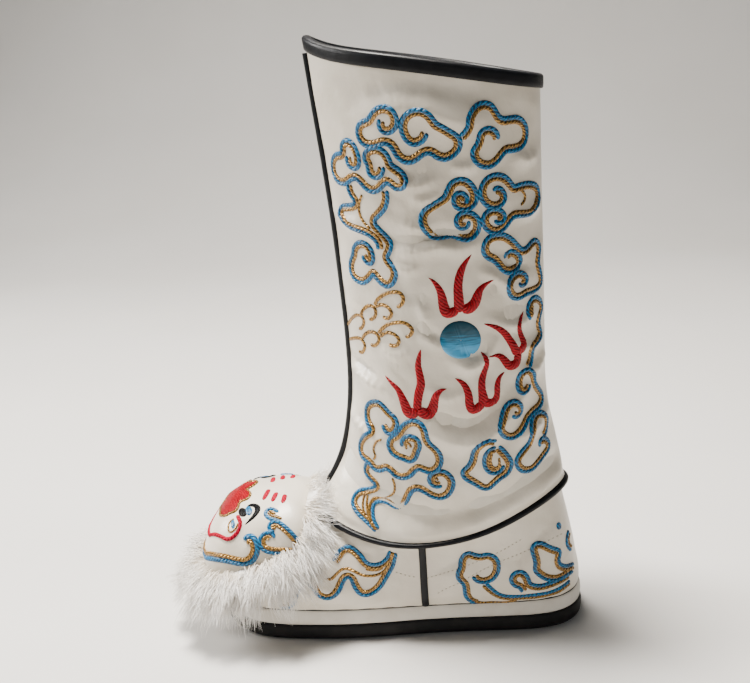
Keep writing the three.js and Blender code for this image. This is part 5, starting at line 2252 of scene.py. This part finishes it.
@dataclass
class Embroidery:
    """All that is embroidered on the shaft, the foot and the tiger's face."""

    shaft: Ground
    foot: Ground
    head: Ground
    cloud_cords: tuple[Stitch, Stitch] = (Stitch(3.4, 1.1), Stitch(3.1, 0.99))
    face_cords: tuple[Stitch, Stitch] = (Stitch(3.4, 1.05), Stitch(2.9, 0.945))
    jaw_cords: tuple[Stitch, Stitch] = (Stitch(4.6, 1.2), Stitch(4.0, 1.2))
    wave: Stitch = Stitch(3.2, 0.95)
    vein: Stitch = Stitch(2.2, 0.95)
    flame: Stitch = Stitch(1, 1.3, 1.15)
    foot_line: Stitch = Stitch(2.8, 0.85)
    sewing: Stitch = Stitch(0.8, 0.35)
    face_line: Stitch = Stitch(1.9, 0.7)
    mouth: Stitch = Stitch(3.6, 1.3)
    lid: Stitch = Stitch(0.85, 0.8)
    stripe: Stitch = Stitch(0.85, 0.7)
    nose_rim: Stitch = Stitch(2.3, 1.3, 1.2)
    nose: Pad = Pad(1.7, (0, 1, 0.6), 1)
    jaw_share: float = 0.46
    nose_close: float = 0.06
    sewing_step: float = 1.0
    sewing_pixels: tuple[int, int] = (3, 4)  # length of a stitch, and from one stitch to the next

    def sew_shaft(self) -> None:
        """Clouds, waves, flames and the pearl."""
        needle = Needle(self.shaft)
        for cloud in SHAFT_CLOUDS.values():
            needle.cloud("shaft_blue", "shaft_gold", cloud, self.cloud_cords)
        for name, line in SHAFT_GOLD.items():
            needle.cord("shaft_gold", line, self.wave if name.startswith("wave") else self.vein)
        for flame in FLAMES.values():
            needle.cord("shaft_flames", flame.line, self.flame)
        needle.fill("shaft_pearl", needle.ellipse(PEARL_CENTRE, PEARL_RADII, 150), Pad(1.5))
        needle.finish({"shaft_blue": BLUE, "shaft_gold": GOLD, "shaft_flames": RED, "shaft_pearl": PEARL})

    def sew_foot(self) -> None:
        """Clouds on the vamp and the quarter, and the sewn lines."""
        needle = Needle(self.foot)
        for cloud in FOOT_CLOUDS.values():
            needle.cloud("foot_blue", "foot_gold", cloud, self.cloud_cords)
        for line in FOOT_GOLD.values():
            needle.cord("foot_gold", line, self.foot_line)
        needle.fill("foot_dot", needle.ellipse(BLUE_DOT_CENTRE, BLUE_DOT_RADII, 40), Pad(0.8))
        length, pace = self.sewing_pixels
        # The sewn lines are dressed in thread darkened as painted shade of their dimples.
        for line in STITCH_LINES.values():
            dense = resample(np.array(line, float), self.sewing_step)
            for start in range(0, len(dense) - length, pace):
                needle.cord("foot_stitches", dense[start : start + length], self.sewing)
        needle.finish({"foot_blue": BLUE, "foot_gold": GOLD, "foot_dot": BLUE, "foot_stitches": CREAM_WITH_PAINTED_SHADE})

    def sew_face(self) -> None:
        """The tiger's cheeks, jaw, mouth, eyes and brow, and its nose over them."""
        needle = Needle(self.head)
        for cloud in FACE_CLOUDS.values():
            needle.cloud("face_blue", "face_gold", cloud, self.face_cords)
        jaw = needle.across_middle(JAW_BAND.seam)
        for piece, stitch, way in (("jaw_gold", self.jaw_cords[1], -1), ("jaw_blue", self.jaw_cords[0], 1)):
            needle.over(piece, jaw, stitch, way * JAW_BAND.blue.value * stitch.width * self.jaw_share)
        for line in FACE_GOLD.values():
            needle.cord("face_gold", line, self.face_line)
        needle.over("face_mouth", needle.across_middle(MOUTH_CORD[::-1]), self.mouth)
        needle.cord("face_lid", EYE_LID.line, self.lid)
        for stripe in BROW_STRIPES:
            needle.cord("face_stripes", stripe.line, self.stripe)
        needle.fill("face_pupil", needle.ellipse(*EYE_PUPIL, 48), Pad(0.9))
        needle.fill("face_eye_blue", needle.ellipse(*EYE_WHITE_BLUE, 48), Pad(0.7))
        needle.fill("face_leaf", needle.ellipse(*LEAF_HEART, 40), Pad(0.5))
        near = self.nose_edge()
        edge = np.concatenate([near, mirrored(near, Side.RIGHT)[::-1]])
        needle.fill("face_nose", edge, self.nose, (Side.LEFT,))
        needle.over("face_nose_rim", np.concatenate([edge, edge[:1]]), self.nose_rim)
        finishes = {"face_blue": BLUE, "face_gold": GOLD, "jaw_gold": GOLD, "jaw_blue": BLUE}
        finishes |= {"face_mouth": CRIMSON, "face_lid": BLACK, "face_stripes": CRIMSON, "face_pupil": BLACK}
        finishes |= {"face_eye_blue": BLUE, "face_leaf": BLUE, "face_nose_rim": GOLD, "face_nose": NOSE_RED}
        needle.finish(finishes)

    def nose_edge(self) -> Array:
        """Edge of the nose on the wearer's left.

        Returns:
            Its points, both ends on the head's middle.
        """
        points = self.head.pick(resample(np.array(NOSE_EDGE, float), CHART_STEP))
        share = np.linspace(0, 1, len(points))
        ends = np.clip(np.minimum(share, 1 - share) / self.nose_close, 0, 1)
        points[:, 0] = np.maximum(points[:, 0], 0) * ends
        return points

    def build(self) -> None:
        """Sews everything."""
        self.sew_shaft()
        self.sew_foot()
        self.sew_face()


# Stage

@dataclass(frozen=True)
class Lamp:
    """A square lamp that looks at the boot: place and size in metres, power in watts."""

    name: str
    place: tuple[float, float, float]
    size: float
    power: float
    colour: Colour

    def hang(self, aim: Vector) -> None:
        """Hangs the lamp.

        Args:
            aim: What it looks at.
        """
        lamp = bpy.data.lights.new(self.name, "AREA")
        lamp.size, lamp.energy, lamp.color = self.size, self.power, self.colour
        holder = bpy.data.objects.new(self.name, lamp)
        holder.location = self.place
        holder.rotation_euler = (aim - Vector(self.place)).to_track_quat("-Z", "Y").to_euler()
        bpy.context.scene.collection.objects.link(holder)


@dataclass
class Studio:
    """Pale floor, soft lights and the camera at the photograph's angle. Lengths in metres."""

    middle: Point2 = (192, 352)  # pixel of the photograph that the picture is centred on
    focal_share: float = 1.12
    frame_width: int = 750
    sensor_width: float = 36
    floor_dark: Colour = (0.70, 0.68, 0.65)
    floor_light: Colour = (0.74, 0.72, 0.69)
    floor_half: float = 6.0
    floor_front: float = 3.0
    bend_back: float = 1.2
    bend_radius: float = 1.2
    wall_height: float = 4.5
    aim: tuple[float, float, float] = (0, 0, 0.2)
    lamps: tuple[Lamp, ...] = (
        Lamp("overhead", (-0.1, -0.2, 1.5), 0.35, 74, (1.0, 0.95, 0.88)),
        Lamp("toe_side", (-0.14, -1.8, 1.1), 0.5, 54, (1.0, 0.98, 0.95)),
        Lamp("camera_side", (1.9, 0.6, 0.9), 1.6, 2, (0.96, 0.98, 1.0)),
    )
    room_colour: Colour = (0.86, 0.88, 0.9)
    room_strength: float = 0.14

    def floor(self) -> None:
        """A plain pale floor that rises softly behind the boot."""
        turn = np.linspace(0, math.pi / 2, 40)
        depth = -self.bend_back - self.bend_radius * np.sin(turn)
        height = self.bend_radius * (1 - np.cos(turn))
        line = [(self.floor_front, 0), *zip(depth, height), (depth[-1], self.wall_height)]
        ends = (-self.floor_half, self.floor_half)
        points = np.array([(x, y, z) for x, z in line for y in ends]) / MM
        flat = points[:, :2]
        floor = mesh_object("floor", points, grid_faces(len(line), 2, False, False), flat)
        nodes = Nodes("pale floor")
        nodes.set(Roughness=0.6, Specular_IOR_Level=0.3)
        cloudy = nodes.noise(nodes.place(), 3, 4)
        colour = nodes.ramp(cloudy, [(0.3, self.floor_dark), (0.7, self.floor_light)])
        floor.data.materials.append(nodes.finish(colour))

    def camera(self) -> None:
        """The camera where the photograph was taken from, aimed at the boot."""
        data = bpy.data.cameras.new("camera")
        data.sensor_width = self.sensor_width
        data.lens = VIEW.focal / self.frame_width * data.sensor_width * self.focal_share
        data.clip_start, data.clip_end = 0.02, 30
        camera = bpy.data.objects.new("camera", data)
        camera.location = Vector(VIEW.eye) * MM
        ahead = Vector((0, 0, -1))
        across, down = self.middle[0] - VIEW.centre[0], self.middle[1] - VIEW.centre[1]
        turn = ahead.rotation_difference(Vector((across, -down, -VIEW.focal)))
        camera.rotation_euler = (Vector(VIEW.axes()[0]).to_track_quat("-Z", "Y") @ turn).to_euler()
        bpy.context.scene.collection.objects.link(camera)
        bpy.context.scene.camera = camera

    def build(self) -> None:
        """Builds the stage."""
        self.floor()
        for lamp in self.lamps:
            lamp.hang(Vector(self.aim))
        world = bpy.data.worlds.new("room")
        world.use_nodes = True
        background = world.node_tree.nodes["Background"]
        background.inputs["Color"].default_value = (*self.room_colour, 1)
        background.inputs["Strength"].default_value = self.room_strength
        bpy.context.scene.world = world
        self.camera()


# Columns of the photograph that lie within each ground.
SHAFT_COLUMN = 245
FOOT_COLUMN = 250
HEAD_COLUMN = 85


def main() -> None:
    """Builds the boot piece by piece, from the floor up."""
    logging.basicConfig(level=logging.INFO, format="%(message)s")
    sole, upper, head = Sole(), Upper(), TigerHead()
    sole.build()
    upper.build()
    Trims().build()
    head.build()
    FurTrim(head).build([tree_of(upper.foot_face()), sole.tree()])
    Embroidery(
        Ground(upper.shaft_face(), SHAFT_COLUMN),
        Ground(upper.foot_face(), FOOT_COLUMN),
        Ground(head.face(), HEAD_COLUMN, wrap=False),
    ).build()
    Studio().build()


if __name__ == "__main__":
    main()
